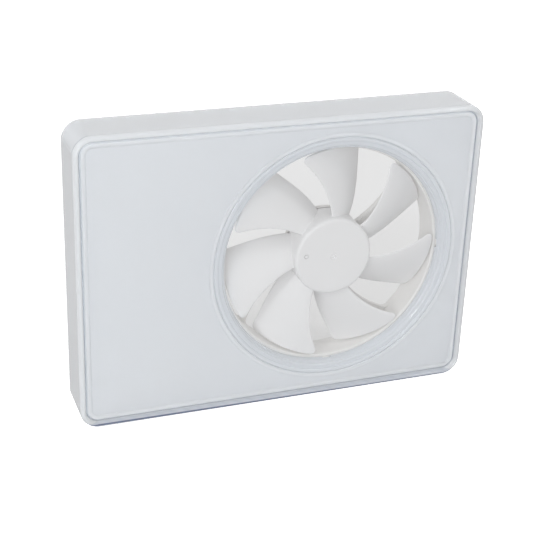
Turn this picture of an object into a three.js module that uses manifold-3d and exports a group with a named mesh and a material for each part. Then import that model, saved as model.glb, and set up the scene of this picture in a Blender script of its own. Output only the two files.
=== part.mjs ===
// Flat wall extract fan with an off-centre axial impeller in a short round duct.
// Frame: X to the right seen from the room, Y into the wall, Z up, in millimetres.
// The duct axis is the Y axis and the wall plane is Y = 0, so the fan faces -Y.
// Heights below are measured from the wall plane into the room, along -Y.

import * as THREE from 'three';
import { mergeVertices } from 'three/addons/utils/BufferGeometryUtils.js';
import Module from 'manifold-3d';

const wasm = await Module();
wasm.setup();

// ---------------------------------------------------------------- driving dimensions

const GAP = 0.3; // seat clearance between two fixed pieces
const OVERCUT = 1; // how far a cutting shape runs past the face it opens
const ROOT = 0.5; // how far a raised feature is sunk into what carries it

// clear front cover
const COVER_WIDTH = 217;
const COVER_HEIGHT = 158;
const COVER_DEPTH = 29; // wall plane to the crest of the outer bead
const COVER_CORNER_R = 10;
const COVER_WALL = 2;
const COVER_REAR_GAP = 0.6; // skirt edge to the wall plane
const BEAD_RISE = 2.4; // crest of the outer bead above the flat panel
const BEAD_INSET = 3.2; // outer wall to the groove behind the bead
const GROOVE_DROP = 0.5; // groove bottom below the panel
const STEP_INSET = 6.6; // outer wall to the edge of the flat panel
const STEP_RISE = 0.6; // low second bead above the panel

// bead and collar round the cover's opening, each a share of the room between the duct and
// the edge of the flat panel
const RING_SHARE = 0.6977; // groove line round the opening
const RING_BEAD_SHARE = 0.155;
const RING_BEAD_RISE = 1.2;
const COLLAR_SHARE = 0.1938; // clear opening of the collar
const COLLAR_WALL_SHARE = 0.1318;
const COLLAR_FLARE_SHARE = 0.155; // by which the collar opens towards the room
const NOTCH_COUNT = 4;
const NOTCH_WIDTH = 5;
const NOTCH_DEPTH = 1.6;
const NOTCH_PLAY = 0.6; // a locating nib to the sides of its notch

// white sheet behind the clear panel
const INLAY_THICKNESS = 0.9;
const INLAY_PLAY = 0.7; // sheet's edge to the inside of the cover

// base tray
const BASE_PLATE = 2;
const BASE_GAP = 0.4; // base rim to the inside of the cover
const BASE_RIM_WALL = 1.8;
const WALL_SCREW_R = 2.25;
const WALL_SCREW_SLOT = 4; // slot length on two of the four screw holes
const WALL_SCREW_INSET_X = 23;
const WALL_SCREW_INSET_Z = 11;
const SCREW_PAD_R = 6.4;
const SCREW_PAD_RISE = 0.8;
const RIB_WALL = 1.4;
const RIB_HEIGHT = 8;
const RIB_SHARE = 0.9; // rib's length as a share of the room beside the duct
const BOSS_WALL = 1.8;
const UPSTAND_WALL = 1.4; // low wall round the duct hole
const UPSTAND_HEIGHT = 5.4;

// foam seal round the duct, let into the back of the base
const SEAL_SHARE = 0.48; // its middle, between the duct hole and the base's edge
const SEAL_WIDTH = 5.4;
const SEAL_THICKNESS = 0.7;

// fan frame: duct ring, curved struts, motor cup
const DUCT_R = 59.5;
const DUCT_WALL = 2.2;
const DUCT_REAR = 3.4;
const DUCT_FRONT = 20.6;
const DUCT_MOUTH_FLARE = 2.4; // depth of the rounding at the mouth
const FLANGE_REACH = 2.3; // flange round the mouth, which closes the gap behind the collar
const FLANGE_THICKNESS = 0.9;
const DUCT_PLAY = 0.5; // duct ring to the hole and the low wall round it
const LUG_OFFSET = 13.9; // duct ring to a lug's screw
const LUG_R = 4.5;
const LUG_THICKNESS = 2;
const LUG_HEIGHT = 6; // top of the base's boss under a lug
const STRUT_COUNT = 4;
const STRUT_WIDTH = 3.6;
const STRUT_TIP_WIDTH = 3;
const STRUT_FILLET = 2.5; // rounding where a strut runs into the duct ring
const STRUT_DEPTH = 3.2;
const STRUT_REAR = 3.8;
const STRUT_ROOT_DEG = 26.4;
const STRUT_SWEEP_DEG = 15.8;
const STRUT_BEND = 0.3; // share of the sweep that grows with the square of the reach
const CUP_R = 21.8;
const CUP_RIM_WALL = 1.2;
const CUP_FLOOR = 1.4;
const CUP_REAR = 3.4;
const CUP_DEPTH = 2.6;
const CHANNEL_WIDTH = 2.2;
const CHANNEL_DEPTH = 2;

// impeller
const BLADE_COUNT = 7;
const TIP_GAP = 1; // blade tip to the duct ring
const BLADE_WALL = 1.5; // thickest point of the section
const BLADE_EDGE = 0.42; // thickness at the edges as a share of the thickest point
const BLADE_LEAD_DEG = 91.5; // leading edge of the first blade at the hub
const BLADE_LEAD_SWEEP_DEG = 19.2;
const BLADE_TRAIL_DEG = 50.3;
const BLADE_TRAIL_SWEEP_DEG = 22.7;
const BLADE_LEAD_HUB = 19.6; // height of the leading edge at the hub
const BLADE_LEAD_TIP = 21.4;
const BLADE_TRAIL = 8.5;
const BLADE_CAMBER = 1.6;
const TIP_CORNER = 4; // rounding of the leading tip corner
const HUB_R = 21.5;
const HUB_WALL = 1.2;
const HUB_FACE = 1.6;
const HUB_FRONT = 23.5;
const HUB_REAR = 7;
const HUB_SHOULDER = 2;
const HUB_BOSS_WALL = 1.6;
const MARK_DEPTH = 0.3;
const GATE_MARK_R = 1.5;
const PIN_MARK_R = 1.1;
const PIN_MARK_REACH = 15.7;
const PIN_MARK_DEG = 173;

// motor
const SHAFT_R = 1.5;
const RUNNING_FIT = 0.1; // shaft in its bearings, bearings in their tube
const BEARING_R = 4;
const BEARING_WIDTH = 3;
const BEARING_LIP = 0.8;
const TUBE_WALL = 1.1;
const TUBE_FRONT = 18.4;
const BUSH_R = 2.5;
const BUSH_LENGTH = 2.6;
const CLIP_WALL = 1.1;
const CLIP_THICKNESS = 0.6;
const CLIP_GROOVE = 0.45;
const YOKE_WALL = 0.8;
const YOKE_RECESS = 0.4; // yoke edge inside the hub's rear edge
const MAGNET_WALL = 1.7;
const MAGNET_LENGTH = 10;
const AIR_GAP = 0.5;
const STATOR_HEIGHT = 5;
const STATOR_REAR = 10.4;
const STATOR_RING_WALL = 2;
const TOOTH_COUNT = 6;
const TOOTH_WIDTH = 3.2;
const TOOTH_SHOE = 1.4;
const SHOE_SHARE = 0.72; // share of a tooth's pitch that its shoe covers
const INSULATOR = 0.6;
const COIL_WALL = 1.9;
const MOTOR_BOARD = 0.8;
const MOTOR_BOARD_R = 18.6;

// control board in the bay between the base rim and the duct, and what it carries
const BOARD_SHARE = 0.527; // its width as a share of the bay
const BOARD_LEFT_SHARE = 0.33; // base rim to the board, as a share of the bay
const BOARD_LENGTH = 108;
const BOARD_THICKNESS = 1.6;
const BOARD_HEIGHT = 6; // underside above the wall plane
const BOARD_RAISE = 2; // board centre above the duct axis
const BOARD_HOLE_INSET = 3.6;
const BOARD_CHAMFER = 4;
const TERMINAL_WIDTH = 12;
const TERMINAL_LENGTH = 20;
const TERMINAL_HEIGHT = 10;
const TERMINAL_WAYS = 3;
const TERMINAL_MARGIN = 6; // board's lower edge to the terminals
const TERMINAL_WELL_R = 1.7;
const TERMINAL_MOUTH = 4;
const PLUG_LENGTH = 9;
const PLUG_WIDTH = 6;
const PLUG_HEIGHT = 5;
const PLUG_EDGE = 0.3; // plug to the board's right edge
const LEAD_R = 0.7;

// Across the board the parts take shares of its width, and up it shares of its length.
// Their places are counted from its centre, to the right and up.
const TRANSFORMER_WIDE = 0.395;
const TRANSFORMER_LONG = 0.148;
const TRANSFORMER_HEIGHT = 11;
const TRANSFORMER_RIGHT = 0.158;
const TRANSFORMER_UP = -0.056;
const CAPACITOR_WIDE = 0.263;
const CAPACITOR_HEIGHT = 11.5;
const CAPACITOR_RIGHT = -0.29;
const CAPACITOR_UP = 0.093;
const FILTER_WIDE = 0.168; // small capacitor
const FILTER_HEIGHT = 9;
const FILTER_RIGHT = -0.316;
const FILTER_UP = 0.222;
const VARISTOR_WIDE = 0.21;
const VARISTOR_LONG = 0.0315;
const VARISTOR_HEIGHT = 9;
const VARISTOR_RIGHT = -0.263;
const VARISTOR_UP = -0.093;
const CHIP_WIDE = 0.184;
const CHIP_LONG = 0.065;
const CHIP_HEIGHT = 1.4;
const CHIP_RIGHT = -0.053;
const CHIP_UP = 0.37;
const PLUG_UP = 0.26;

// terminal lid, cable entry and cable clamp
const LID_THICKNESS = 1.2;
const LID_HEIGHT = 19.6; // underside of the lid
const LID_ABOVE = 10; // lid past the terminals at the top
const LID_BELOW = 10; // lid past the board at the bottom
const LID_OVERHANG = 3; // lid past the board's right edge
const LID_SCREW_INSET = 5;
const CABLE_HOLE_R = 6.5;
const CABLE_BORE_R = 4;
const CABLE_SHARE = 0.1775; // base rim to the cable entry, as a share of the bay
const CABLE_RAISE = 12; // board's lower edge to the cable entry
const GROMMET_FLANGE = 2;
const CLAMP_RAISE = 3; // top of the terminals to the clamp
const CLAMP_WIDTH = 6.4;
const CLAMP_DEPTH = 3.6;
const CLAMP_GRIP = 1.6; // depth of the arch that holds the cable

// fasteners
const SCREW_R = 1.2;
const SCREW_HEAD_R = 2.4;
const SCREW_HEAD = 1.5;
const SCREW_POINT = 1.5;
const SCREW_SLOT = 0.6;
const FRAME_SCREW = 6;
const BOARD_SCREW = 5;
const LONG_SCREW = 8;

// facets
const RING_SIDES = 48;
const HUB_SIDES = 32;
const SMALL_SIDES = 12;
const SCREW_SIDES = 8;
const CORNER_STEPS = 4;
const BLADE_STEPS = 5;

// ---------------------------------------------------------------- derived places

const FULL_TURN = 2 * Math.PI;
const RIGHT = COVER_HEIGHT / 2; // the duct axis is centred in the square right end
const LEFT = RIGHT - COVER_WIDTH;
const TOP = COVER_HEIGHT / 2;
const CENTRE_X = (LEFT + RIGHT) / 2;
const PANEL = COVER_DEPTH - BEAD_RISE;
const PANEL_BACK = PANEL - COVER_WALL;
const INLAY_INSET = COVER_WALL + INLAY_PLAY;
const INLAY_FRONT = PANEL_BACK - GAP;
const BASE_INSET = COVER_WALL + BASE_GAP;
const BASE_RIM_HEIGHT = INLAY_FRONT - INLAY_THICKNESS - GAP;
const RIM_INSET = BASE_INSET + BASE_RIM_WALL;
const DUCT_OUTER = DUCT_R + DUCT_WALL;
const RING_ROOM = TOP - STEP_INSET - DUCT_R;
const RING_R = DUCT_R + RING_SHARE * RING_ROOM;
const RING_BEAD_WIDTH = RING_BEAD_SHARE * RING_ROOM;
const COLLAR_R = DUCT_R + COLLAR_SHARE * RING_ROOM;
const COLLAR_WALL = COLLAR_WALL_SHARE * RING_ROOM;
const COLLAR_FLARE = COLLAR_FLARE_SHARE * RING_ROOM;
const INLAY_HOLE_R = COLLAR_R + COLLAR_WALL + COLLAR_FLARE / 2 + GAP;
const COLLAR_REAR = DUCT_FRONT + 2 * GAP;
const BASE_HOLE_R = DUCT_OUTER + DUCT_PLAY;
const UPSTAND_R = BASE_HOLE_R + UPSTAND_WALL;
const RIB_LENGTH = RIB_SHARE * (TOP - RIM_INSET - UPSTAND_R);
const SEAL_ROOM = TOP - BASE_INSET - BASE_HOLE_R;
const SEAL_R = BASE_HOLE_R + SEAL_SHARE * SEAL_ROOM;
const LUG_REACH = DUCT_OUTER + LUG_OFFSET;
const BLADE_TIP_R = DUCT_R - TIP_GAP;
const CUP_FLOOR_TOP = CUP_REAR + CUP_FLOOR;
const CUP_FRONT = CUP_REAR + CUP_DEPTH;
const TUBE_R = BEARING_R + RUNNING_FIT + TUBE_WALL;
const YOKE_R = HUB_R - HUB_WALL - GAP;
const MAGNET_R = YOKE_R - YOKE_WALL - GAP;
const STATOR_R = MAGNET_R - MAGNET_WALL - AIR_GAP;
const STATOR_FRONT = STATOR_REAR + STATOR_HEIGHT;
const STATOR_BORE = TUBE_R + GAP;
const STATOR_RING_R = STATOR_BORE + STATOR_RING_WALL;
const HUB_CEILING = HUB_FRONT - HUB_FACE;
const HUB_BOSS_R = BUSH_R + GAP + HUB_BOSS_WALL;
const BAY_LEFT = LEFT + RIM_INSET;
const BAY = -DUCT_OUTER - BAY_LEFT;
const BOARD_WIDTH = BOARD_SHARE * BAY;
const BOARD_LEFT = BAY_LEFT + BOARD_LEFT_SHARE * BAY;
const BOARD_RIGHT = BOARD_LEFT + BOARD_WIDTH;
const BOARD_X = (BOARD_LEFT + BOARD_RIGHT) / 2;
const BOARD_LOW = BOARD_RAISE - BOARD_LENGTH / 2;
const TERMINAL_TOP = BOARD_LOW + TERMINAL_MARGIN + TERMINAL_LENGTH;
const BOARD_TOP = BOARD_HEIGHT + BOARD_THICKNESS;
const ON_BOARD = BOARD_TOP + GAP;
const CABLE_X = BAY_LEFT + CABLE_SHARE * BAY;
const CABLE_Z = BOARD_LOW + CABLE_RAISE;
const CLAMP_Z = TERMINAL_TOP + CLAMP_RAISE;
const CLAMP_SPAN = 2 * (BOARD_LEFT - CABLE_X - SCREW_HEAD_R - 3 * GAP);
const LID_TOP = TERMINAL_TOP + LID_ABOVE;
const LID_BOTTOM = BOARD_LOW - LID_BELOW;
const LID_LEFT = BAY_LEFT + 2 * GAP;
const LID_RIGHT = BOARD_RIGHT + LID_OVERHANG;

// ---------------------------------------------------------------- solid helpers

const radians = (degrees) => (degrees * Math.PI) / 180;

// A point at a radius and an angle round the duct axis, and a height above the wall.
function polar(radius, degrees, height) {
  const angle = radians(degrees);
  return new THREE.Vector3(radius * Math.cos(angle), -height, radius * Math.sin(angle));
}

// Turns a closed geometry into a solid whose faces point outwards.
function solid(geometry) {
  const bare = geometry.index ? geometry.toNonIndexed() : geometry.clone();
  bare.deleteAttribute('normal');
  bare.deleteAttribute('uv');
  const merged = mergeVertices(bare, 1e-4);
  const places = merged.attributes.position.array;
  const corners = merged.index.array;
  const triangles = [];
  let volume = 0;
  for (let i = 0; i < corners.length; i += 3) {
    const [a, b, c] = [corners[i], corners[i + 1], corners[i + 2]];
    if (a === b || b === c || c === a) continue;
    triangles.push(a, b, c);
    const pa = new THREE.Vector3().fromArray(places, 3 * a);
    const pb = new THREE.Vector3().fromArray(places, 3 * b);
    const pc = new THREE.Vector3().fromArray(places, 3 * c);
    volume += pa.dot(pb.cross(pc));
  }
  if (volume < 0) {
    for (let i = 0; i < triangles.length; i += 3) {
      [triangles[i], triangles[i + 1]] = [triangles[i + 1], triangles[i]];
    }
  }
  return new wasm.Manifold(new wasm.Mesh({
    numProp: 3,
    vertProperties: new Float32Array(places),
    triVerts: new Uint32Array(triangles),
  }));
}

const join = (...solids) => solids.reduce((whole, next) => whole.add(next));
const cut = (body, ...tools) => tools.reduce((rest, tool) => rest.subtract(tool), body);

// A closed ring of points for each station, stitched side by side and capped at both ends.
// Every ring has the same even number of points, and point i faces point n-1-i across it.
function loft(rings) {
  const count = rings[0].length;
  const places = rings.flat().flatMap((point) => [point.x, point.y, point.z]);
  const index = [];
  for (let ring = 0; ring + 1 < rings.length; ring += 1) {
    for (let i = 0; i < count; i += 1) {
      const a = ring * count + i;
      const b = ring * count + ((i + 1) % count);
      index.push(a, b, b + count, a, b + count, a + count);
    }
  }
  const last = (rings.length - 1) * count;
  for (let i = 0; i + 1 < count / 2; i += 1) {
    const j = count - 1 - i;
    index.push(i, j, j - 1, i, j - 1, i + 1);
    index.push(last + i, last + j - 1, last + j, last + i, last + i + 1, last + j - 1);
  }
  const geometry = new THREE.BufferGeometry();
  geometry.setAttribute('position', new THREE.Float32BufferAttribute(places, 3));
  geometry.setIndex(index);
  return solid(geometry);
}

// A profile of [radius, height] points turned about an axis at x, z that points into the room.
function revolve(profile, sides, x = 0, z = 0) {
  const points = profile.map(([radius, height]) => new THREE.Vector2(radius, -height));
  const geometry = new THREE.LatheGeometry(points, sides);
  geometry.translate(x, 0, z);
  return solid(geometry);
}

function disc(radius, rear, front, x = 0, z = 0, sides = SMALL_SIDES) {
  return revolve([[0, rear], [radius, rear], [radius, front], [0, front]], sides, x, z);
}

function tube(inner, outer, rear, front, x = 0, z = 0, sides = SMALL_SIDES) {
  return revolve([[inner, rear], [outer, rear], [outer, front], [inner, front], [inner, rear]], sides, x, z);
}

// A flat shape drawn in X and Z, between two heights above the wall.
function plate(shape, rear, front, curveSegments = 6) {
  const options = { depth: front - rear, bevelEnabled: false, curveSegments };
  const geometry = new THREE.ExtrudeGeometry(shape, options);
  geometry.rotateX(Math.PI / 2);
  geometry.translate(0, -rear, 0);
  return solid(geometry);
}

// A block between two heights, centred at x, z.
function block(width, length, rear, front, x = 0, z = 0) {
  const geometry = new THREE.BoxGeometry(width, front - rear, length);
  geometry.translate(x, -(rear + front) / 2, z);
  return solid(geometry);
}

// The cover's rounded rectangle drawn in by an inset, at a height above the wall.
function outline(inset, height, cornerR = COVER_CORNER_R - inset) {
  const radius = Math.max(cornerR, GAP);
  const halfX = COVER_WIDTH / 2 - inset - radius;
  const halfZ = COVER_HEIGHT / 2 - inset - radius;
  const points = [];
  for (let corner = 0; corner < 4; corner += 1) {
    const sideX = corner < 2 ? 1 : -1;
    const sideZ = corner === 1 || corner === 2 ? 1 : -1;
    for (let i = 0; i <= CORNER_STEPS; i += 1) {
      const angle = (Math.PI / 2) * (corner - 1 + i / CORNER_STEPS);
      points.push(new THREE.Vector3(
        CENTRE_X + sideX * halfX + radius * Math.cos(angle),
        -height,
        sideZ * halfZ + radius * Math.sin(angle),
      ));
    }
  }
  return points;
}

// A stack of rounded rectangles, one for each [inset, height].
const tray = (levels) => loft(levels.map(([inset, height]) => outline(inset, height)));

// A quarter of an ellipse between two profile points, rising first where upFirst.
function round(from, to, upFirst, steps = 3) {
  const points = [];
  for (let i = 1; i <= steps; i += 1) {
    const angle = (Math.PI / 2) * (i / steps);
    const across = upFirst ? 1 - Math.cos(angle) : Math.sin(angle);
    const up = upFirst ? Math.sin(angle) : 1 - Math.cos(angle);
    points.push([from[0] + (to[0] - from[0]) * across, from[1] + (to[1] - from[1]) * up]);
  }
  return points;
}

// Turns a solid about the duct axis, anticlockwise seen from the room.
const turned = (body, degrees) => body.rotate([0, -degrees, 0]);

// ---------------------------------------------------------------- the assembly

const group = new THREE.Group();
const cover = new THREE.Group();
const base = new THREE.Group();
const rotor = new THREE.Group();
group.add(cover, base, rotor);

const finishes = {
  clear: { color: 0xdfe8f0, roughness: 0.06, metalness: 0, transparent: true, opacity: 0.35 },
  white: { color: 0xf1f2f2, roughness: 0.45, metalness: 0 },
  warmWhite: { color: 0xeceae6, roughness: 0.5, metalness: 0 },
  foam: { color: 0x3a3b3d, roughness: 0.95, metalness: 0 },
  rubber: { color: 0x26272a, roughness: 0.8, metalness: 0 },
  steel: { color: 0xb9bcc0, roughness: 0.3, metalness: 1 },
  zinc: { color: 0xcfd2d4, roughness: 0.35, metalness: 1 },
  brass: { color: 0xc9a45a, roughness: 0.35, metalness: 1 },
  ferrite: { color: 0x34353a, roughness: 0.7, metalness: 0 },
  copper: { color: 0xb8683a, roughness: 0.35, metalness: 1 },
  board: { color: 0x1f6b45, roughness: 0.5, metalness: 0 },
  black: { color: 0x1d1e20, roughness: 0.5, metalness: 0 },
  grey: { color: 0x8d9196, roughness: 0.5, metalness: 0 },
  blue: { color: 0x2f5fa8, roughness: 0.4, metalness: 0 },
  yellow: { color: 0xd9b43a, roughness: 0.5, metalness: 0 },
};

// Makes a named mesh of a solid in one of the groups, and returns it to be placed.
function add(parent, name, body, finish) {
  const { vertProperties, triVerts, numProp } = body.getMesh();
  const count = vertProperties.length / numProp;
  const places = new Float32Array(3 * count);
  for (let i = 0; i < count; i += 1) {
    places.set(vertProperties.subarray(i * numProp, i * numProp + 3), 3 * i);
  }
  const geometry = new THREE.BufferGeometry();
  geometry.setAttribute('position', new THREE.BufferAttribute(places, 3));
  geometry.setIndex(new THREE.BufferAttribute(new Uint32Array(triVerts), 1));
  geometry.computeVertexNormals();
  const mesh = new THREE.Mesh(geometry, new THREE.MeshStandardMaterial(finishes[finish]));
  mesh.name = name;
  parent.add(mesh);
  return mesh;
}

// A slotted pan-head screw driven towards the wall, its head seated at a height.
function addScrew(name, [x, z], seat, length) {
  const body = revolve([
    [0, -length],
    [SCREW_R, SCREW_POINT - length],
    [SCREW_R, 0],
    [SCREW_HEAD_R, 0],
    [SCREW_HEAD_R, SCREW_HEAD / 2],
    [SCREW_R, SCREW_HEAD],
    [0, SCREW_HEAD],
  ], SCREW_SIDES);
  const slot = block(3 * SCREW_HEAD_R, SCREW_SLOT, SCREW_HEAD - SCREW_SLOT, SCREW_HEAD + OVERCUT);
  add(base, name, cut(body, slot), 'zinc').position.set(x, -(seat + GAP), z);
}

// ---------------------------------------------------------------- front cover

// A skirt, a raised bead round the edge, a groove, a low second bead and the flat panel.
function coverTray() {
  const crest = [BEAD_INSET * 0.6, COVER_DEPTH];
  const groove = [BEAD_INSET, PANEL - GROOVE_DROP];
  const stepTop = PANEL + STEP_RISE;
  const stepSlope = (STEP_INSET - BEAD_INSET) / 4;
  const outside = tray([
    [0, COVER_REAR_GAP],
    [0, PANEL],
    ...round([0, PANEL], crest, true),
    ...round(crest, groove, false),
    [BEAD_INSET + stepSlope, stepTop],
    [STEP_INSET - stepSlope, stepTop],
    [STEP_INSET, PANEL],
  ]);
  const inside = tray([
    [COVER_WALL, COVER_REAR_GAP - OVERCUT],
    [COVER_WALL, PANEL_BACK],
  ]);
  return cut(outside, inside);
}

// The bead round the opening and the collar that curves back from it towards the duct.
function coverRing() {
  const beadInner = RING_R - RING_BEAD_WIDTH;
  const groove = PANEL - GROOVE_DROP;
  const beadTop = PANEL + RING_BEAD_RISE;
  const flareR = COLLAR_R + COLLAR_FLARE;
  const outer = RING_R + ROOT;
  const collarBack = COLLAR_R + COLLAR_WALL;
  return revolve([
    [outer, PANEL],
    [RING_R, groove],
    [RING_R - RING_BEAD_WIDTH / 4, beadTop - RING_BEAD_RISE / 4],
    [RING_R - RING_BEAD_WIDTH / 2, beadTop],
    [beadInner + RING_BEAD_WIDTH / 4, beadTop - RING_BEAD_RISE / 2],
    [beadInner, groove],
    [flareR, groove],
    ...round([flareR, groove], [COLLAR_R, COLLAR_REAR + NOTCH_DEPTH], false),
    [COLLAR_R, COLLAR_REAR],
    [collarBack, COLLAR_REAR],
    [collarBack, PANEL_BACK - COLLAR_FLARE / 2],
    [collarBack + COLLAR_FLARE / 2, PANEL_BACK],
    [outer, PANEL_BACK],
    [outer, PANEL],
  ], RING_SIDES);
}

// Blocks across the collar's wall at three, twelve, nine and six o'clock.
function collarBlocks(inner, outer, width, rear, front) {
  const blocks = [];
  for (let i = 0; i < NOTCH_COUNT; i += 1) {
    const one = block(outer - inner, width, rear, front, (inner + outer) / 2, 0);
    blocks.push(turned(one, (360 * i) / NOTCH_COUNT));
  }
  return blocks;
}

function frontCover() {
  const opening = disc(RING_R + ROOT / 2, 0, COVER_DEPTH + OVERCUT, 0, 0, RING_SIDES);
  const notches = collarBlocks(
    COLLAR_R - OVERCUT, COLLAR_R + COLLAR_WALL + OVERCUT,
    NOTCH_WIDTH, COLLAR_REAR - OVERCUT, COLLAR_REAR + NOTCH_DEPTH,
  );
  return cut(join(cut(coverTray(), opening), coverRing()), ...notches);
}

function decorInlay() {
  const sheet = tray([
    [INLAY_INSET, INLAY_FRONT - INLAY_THICKNESS],
    [INLAY_INSET, INLAY_FRONT],
  ]);
  return cut(sheet, disc(INLAY_HOLE_R, 0, COVER_DEPTH, 0, 0, RING_SIDES));
}

add(cover, 'front_cover', frontCover(), 'clear');
add(cover, 'decor_inlay', decorInlay(), 'white');

// ---------------------------------------------------------------- places of the fixings

const lugDegrees = [45, 135, 225, 315];
const lugPlaces = lugDegrees.map((degrees) => {
  const place = polar(LUG_REACH, degrees, 0);
  return [place.x, place.z];
});

// Each wall screw's x, z and the length of its slot.
const screwHigh = TOP - WALL_SCREW_INSET_Z;
const wallScrews = [
  [RIGHT - WALL_SCREW_INSET_X, screwHigh, 0],
  [LEFT + WALL_SCREW_INSET_X, screwHigh, WALL_SCREW_SLOT],
  [LEFT + WALL_SCREW_INSET_X, -screwHigh, 0],
  [RIGHT - WALL_SCREW_INSET_X, -screwHigh, WALL_SCREW_SLOT],
];

const boardHoleX = BOARD_WIDTH / 2 - BOARD_HOLE_INSET;
const boardHoleZ = BOARD_LENGTH / 2 - BOARD_HOLE_INSET;
const boardScrews = [
  [BOARD_X + boardHoleX, BOARD_RAISE + boardHoleZ],
  [BOARD_X - boardHoleX, BOARD_RAISE + boardHoleZ],
  [BOARD_X + boardHoleX, BOARD_RAISE - boardHoleZ],
];
const clampScrews = [-1, 1].map((side) => [CABLE_X + (side * CLAMP_SPAN) / 2, CLAMP_Z]);
const lidScrew = [CABLE_X, LID_BOTTOM + LID_SCREW_INSET];

// ---------------------------------------------------------------- base

// A screw boss on the base plate, open at the front for its screw.
function boss([x, z], front) {
  const inner = SCREW_R + GAP;
  return tube(inner, inner + BOSS_WALL, BASE_PLATE - ROOT, front, x, z);
}

function wallScrewHole([x, z, slot]) {
  const rear = -OVERCUT;
  const front = BASE_PLATE + SCREW_PAD_RISE + OVERCUT;
  if (slot === 0) return disc(WALL_SCREW_R, rear, front, x, z);
  return join(
    block(slot, 2 * WALL_SCREW_R, rear, front, x, z),
    disc(WALL_SCREW_R, rear, front, x - slot / 2, z),
    disc(WALL_SCREW_R, rear, front, x + slot / 2, z),
  );
}

// The low wall round the duct hole, open where the motor's lead leaves the fan frame.
function ductUpstand() {
  const rear = BASE_PLATE - ROOT;
  const ring = tube(BASE_HOLE_R, UPSTAND_R, rear, UPSTAND_HEIGHT, 0, 0, RING_SIDES);
  const gate = block(
    4 * UPSTAND_WALL, 2 * CHANNEL_WIDTH, BASE_PLATE, UPSTAND_HEIGHT + OVERCUT, UPSTAND_R, 0,
  );
  return cut(ring, turned(gate, strutAngle(UPSTAND_R, 1)));
}

// Ribs that stiffen the plate behind the corners of the rim.
function stiffeners() {
  const ribs = [];
  const low = BASE_PLATE - ROOT;
  const length = RIB_LENGTH + ROOT;
  const x = RIGHT - RIM_INSET - RIB_LENGTH / 2 + ROOT / 2;
  const z = TOP - RIM_INSET - RIB_LENGTH / 2 + ROOT / 2;
  for (const side of [-1, 1]) {
    ribs.push(block(length, RIB_WALL, low, RIB_HEIGHT, x, (side * TOP) / 2));
    ribs.push(block(RIB_WALL, length, low, RIB_HEIGHT, RIGHT / 3, side * z));
    ribs.push(block(RIB_WALL, length, low, RIB_HEIGHT, -RIGHT / 3, side * z));
  }
  return ribs;
}

// Two walls that close off the terminals under their lid.
function terminalWalls() {
  const low = BASE_PLATE - ROOT;
  const high = LID_HEIGHT;
  const topLeft = BAY_LEFT - ROOT;
  const topRight = BOARD_LEFT - 2 * GAP;
  const bottom = LID_BOTTOM + RIB_WALL;
  const top = LID_TOP - RIB_WALL;
  return [
    block(topRight - topLeft, RIB_WALL, low, high, (topLeft + topRight) / 2, top),
    block(RIB_WALL, top - bottom, low, high, LID_RIGHT - RIB_WALL, (top + bottom) / 2),
  ];
}

function rearBase() {
  const shell = cut(
    tray([[BASE_INSET, 0], [BASE_INSET, BASE_RIM_HEIGHT]]),
    tray([[RIM_INSET, BASE_PLATE], [RIM_INSET, BASE_RIM_HEIGHT + OVERCUT]]),
  );
  const pads = wallScrews.map(([x, z]) => (
    disc(SCREW_PAD_R, BASE_PLATE - ROOT, BASE_PLATE + SCREW_PAD_RISE, x, z)
  ));
  const front = BASE_PLATE + OVERCUT;
  const sealHalf = SEAL_WIDTH / 2 + GAP;
  const sealDepth = SEAL_THICKNESS + GAP;
  const openings = [
    disc(BASE_HOLE_R, -OVERCUT, front, 0, 0, RING_SIDES),
    tube(SEAL_R - sealHalf, SEAL_R + sealHalf, -OVERCUT, sealDepth, 0, 0, RING_SIDES),
    disc(CABLE_HOLE_R, -OVERCUT, front, CABLE_X, CABLE_Z),
    ...wallScrews.map(wallScrewHole),
  ];
  const bosses = [
    ...lugPlaces.map((place) => boss(place, LUG_HEIGHT)),
    ...boardScrews.map((place) => boss(place, BOARD_HEIGHT - GAP)),
    ...clampScrews.map((place) => boss(place, BOARD_HEIGHT)),
    boss(lidScrew, LID_HEIGHT),
  ];
  const plateBody = cut(join(shell, ...pads), ...openings);
  return join(plateBody, ductUpstand(), ...bosses, ...terminalWalls(), ...stiffeners());
}

add(base, 'rear_base', rearBase(), 'white');
const sealInner = SEAL_R - SEAL_WIDTH / 2;
const sealOuter = SEAL_R + SEAL_WIDTH / 2;
add(base, 'wall_seal', tube(sealInner, sealOuter, 0, SEAL_THICKNESS, 0, 0, RING_SIDES), 'foam');

// ---------------------------------------------------------------- fan frame

// The angle of a strut's centre line, which sweeps forward from the cup to the duct.
function strutAngle(radius, strut) {
  const along = (radius - CUP_R) / (DUCT_R - CUP_R);
  const bent = (1 - STRUT_BEND) * along + STRUT_BEND * along * along;
  return STRUT_ROOT_DEG + STRUT_SWEEP_DEG * bent + (360 * strut) / STRUT_COUNT;
}

// A strut's width narrows from the cup outwards, and grows by two fillets at the duct ring.
function strutWidth(radius) {
  const along = (radius - CUP_R) / (DUCT_R - CUP_R);
  const into = Math.min(STRUT_FILLET, Math.max(0, radius - (DUCT_R - STRUT_FILLET)));
  const fillet = STRUT_FILLET - Math.sqrt(STRUT_FILLET ** 2 - into ** 2);
  return STRUT_WIDTH + (STRUT_TIP_WIDTH - STRUT_WIDTH) * along + 2 * fillet;
}

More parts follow.
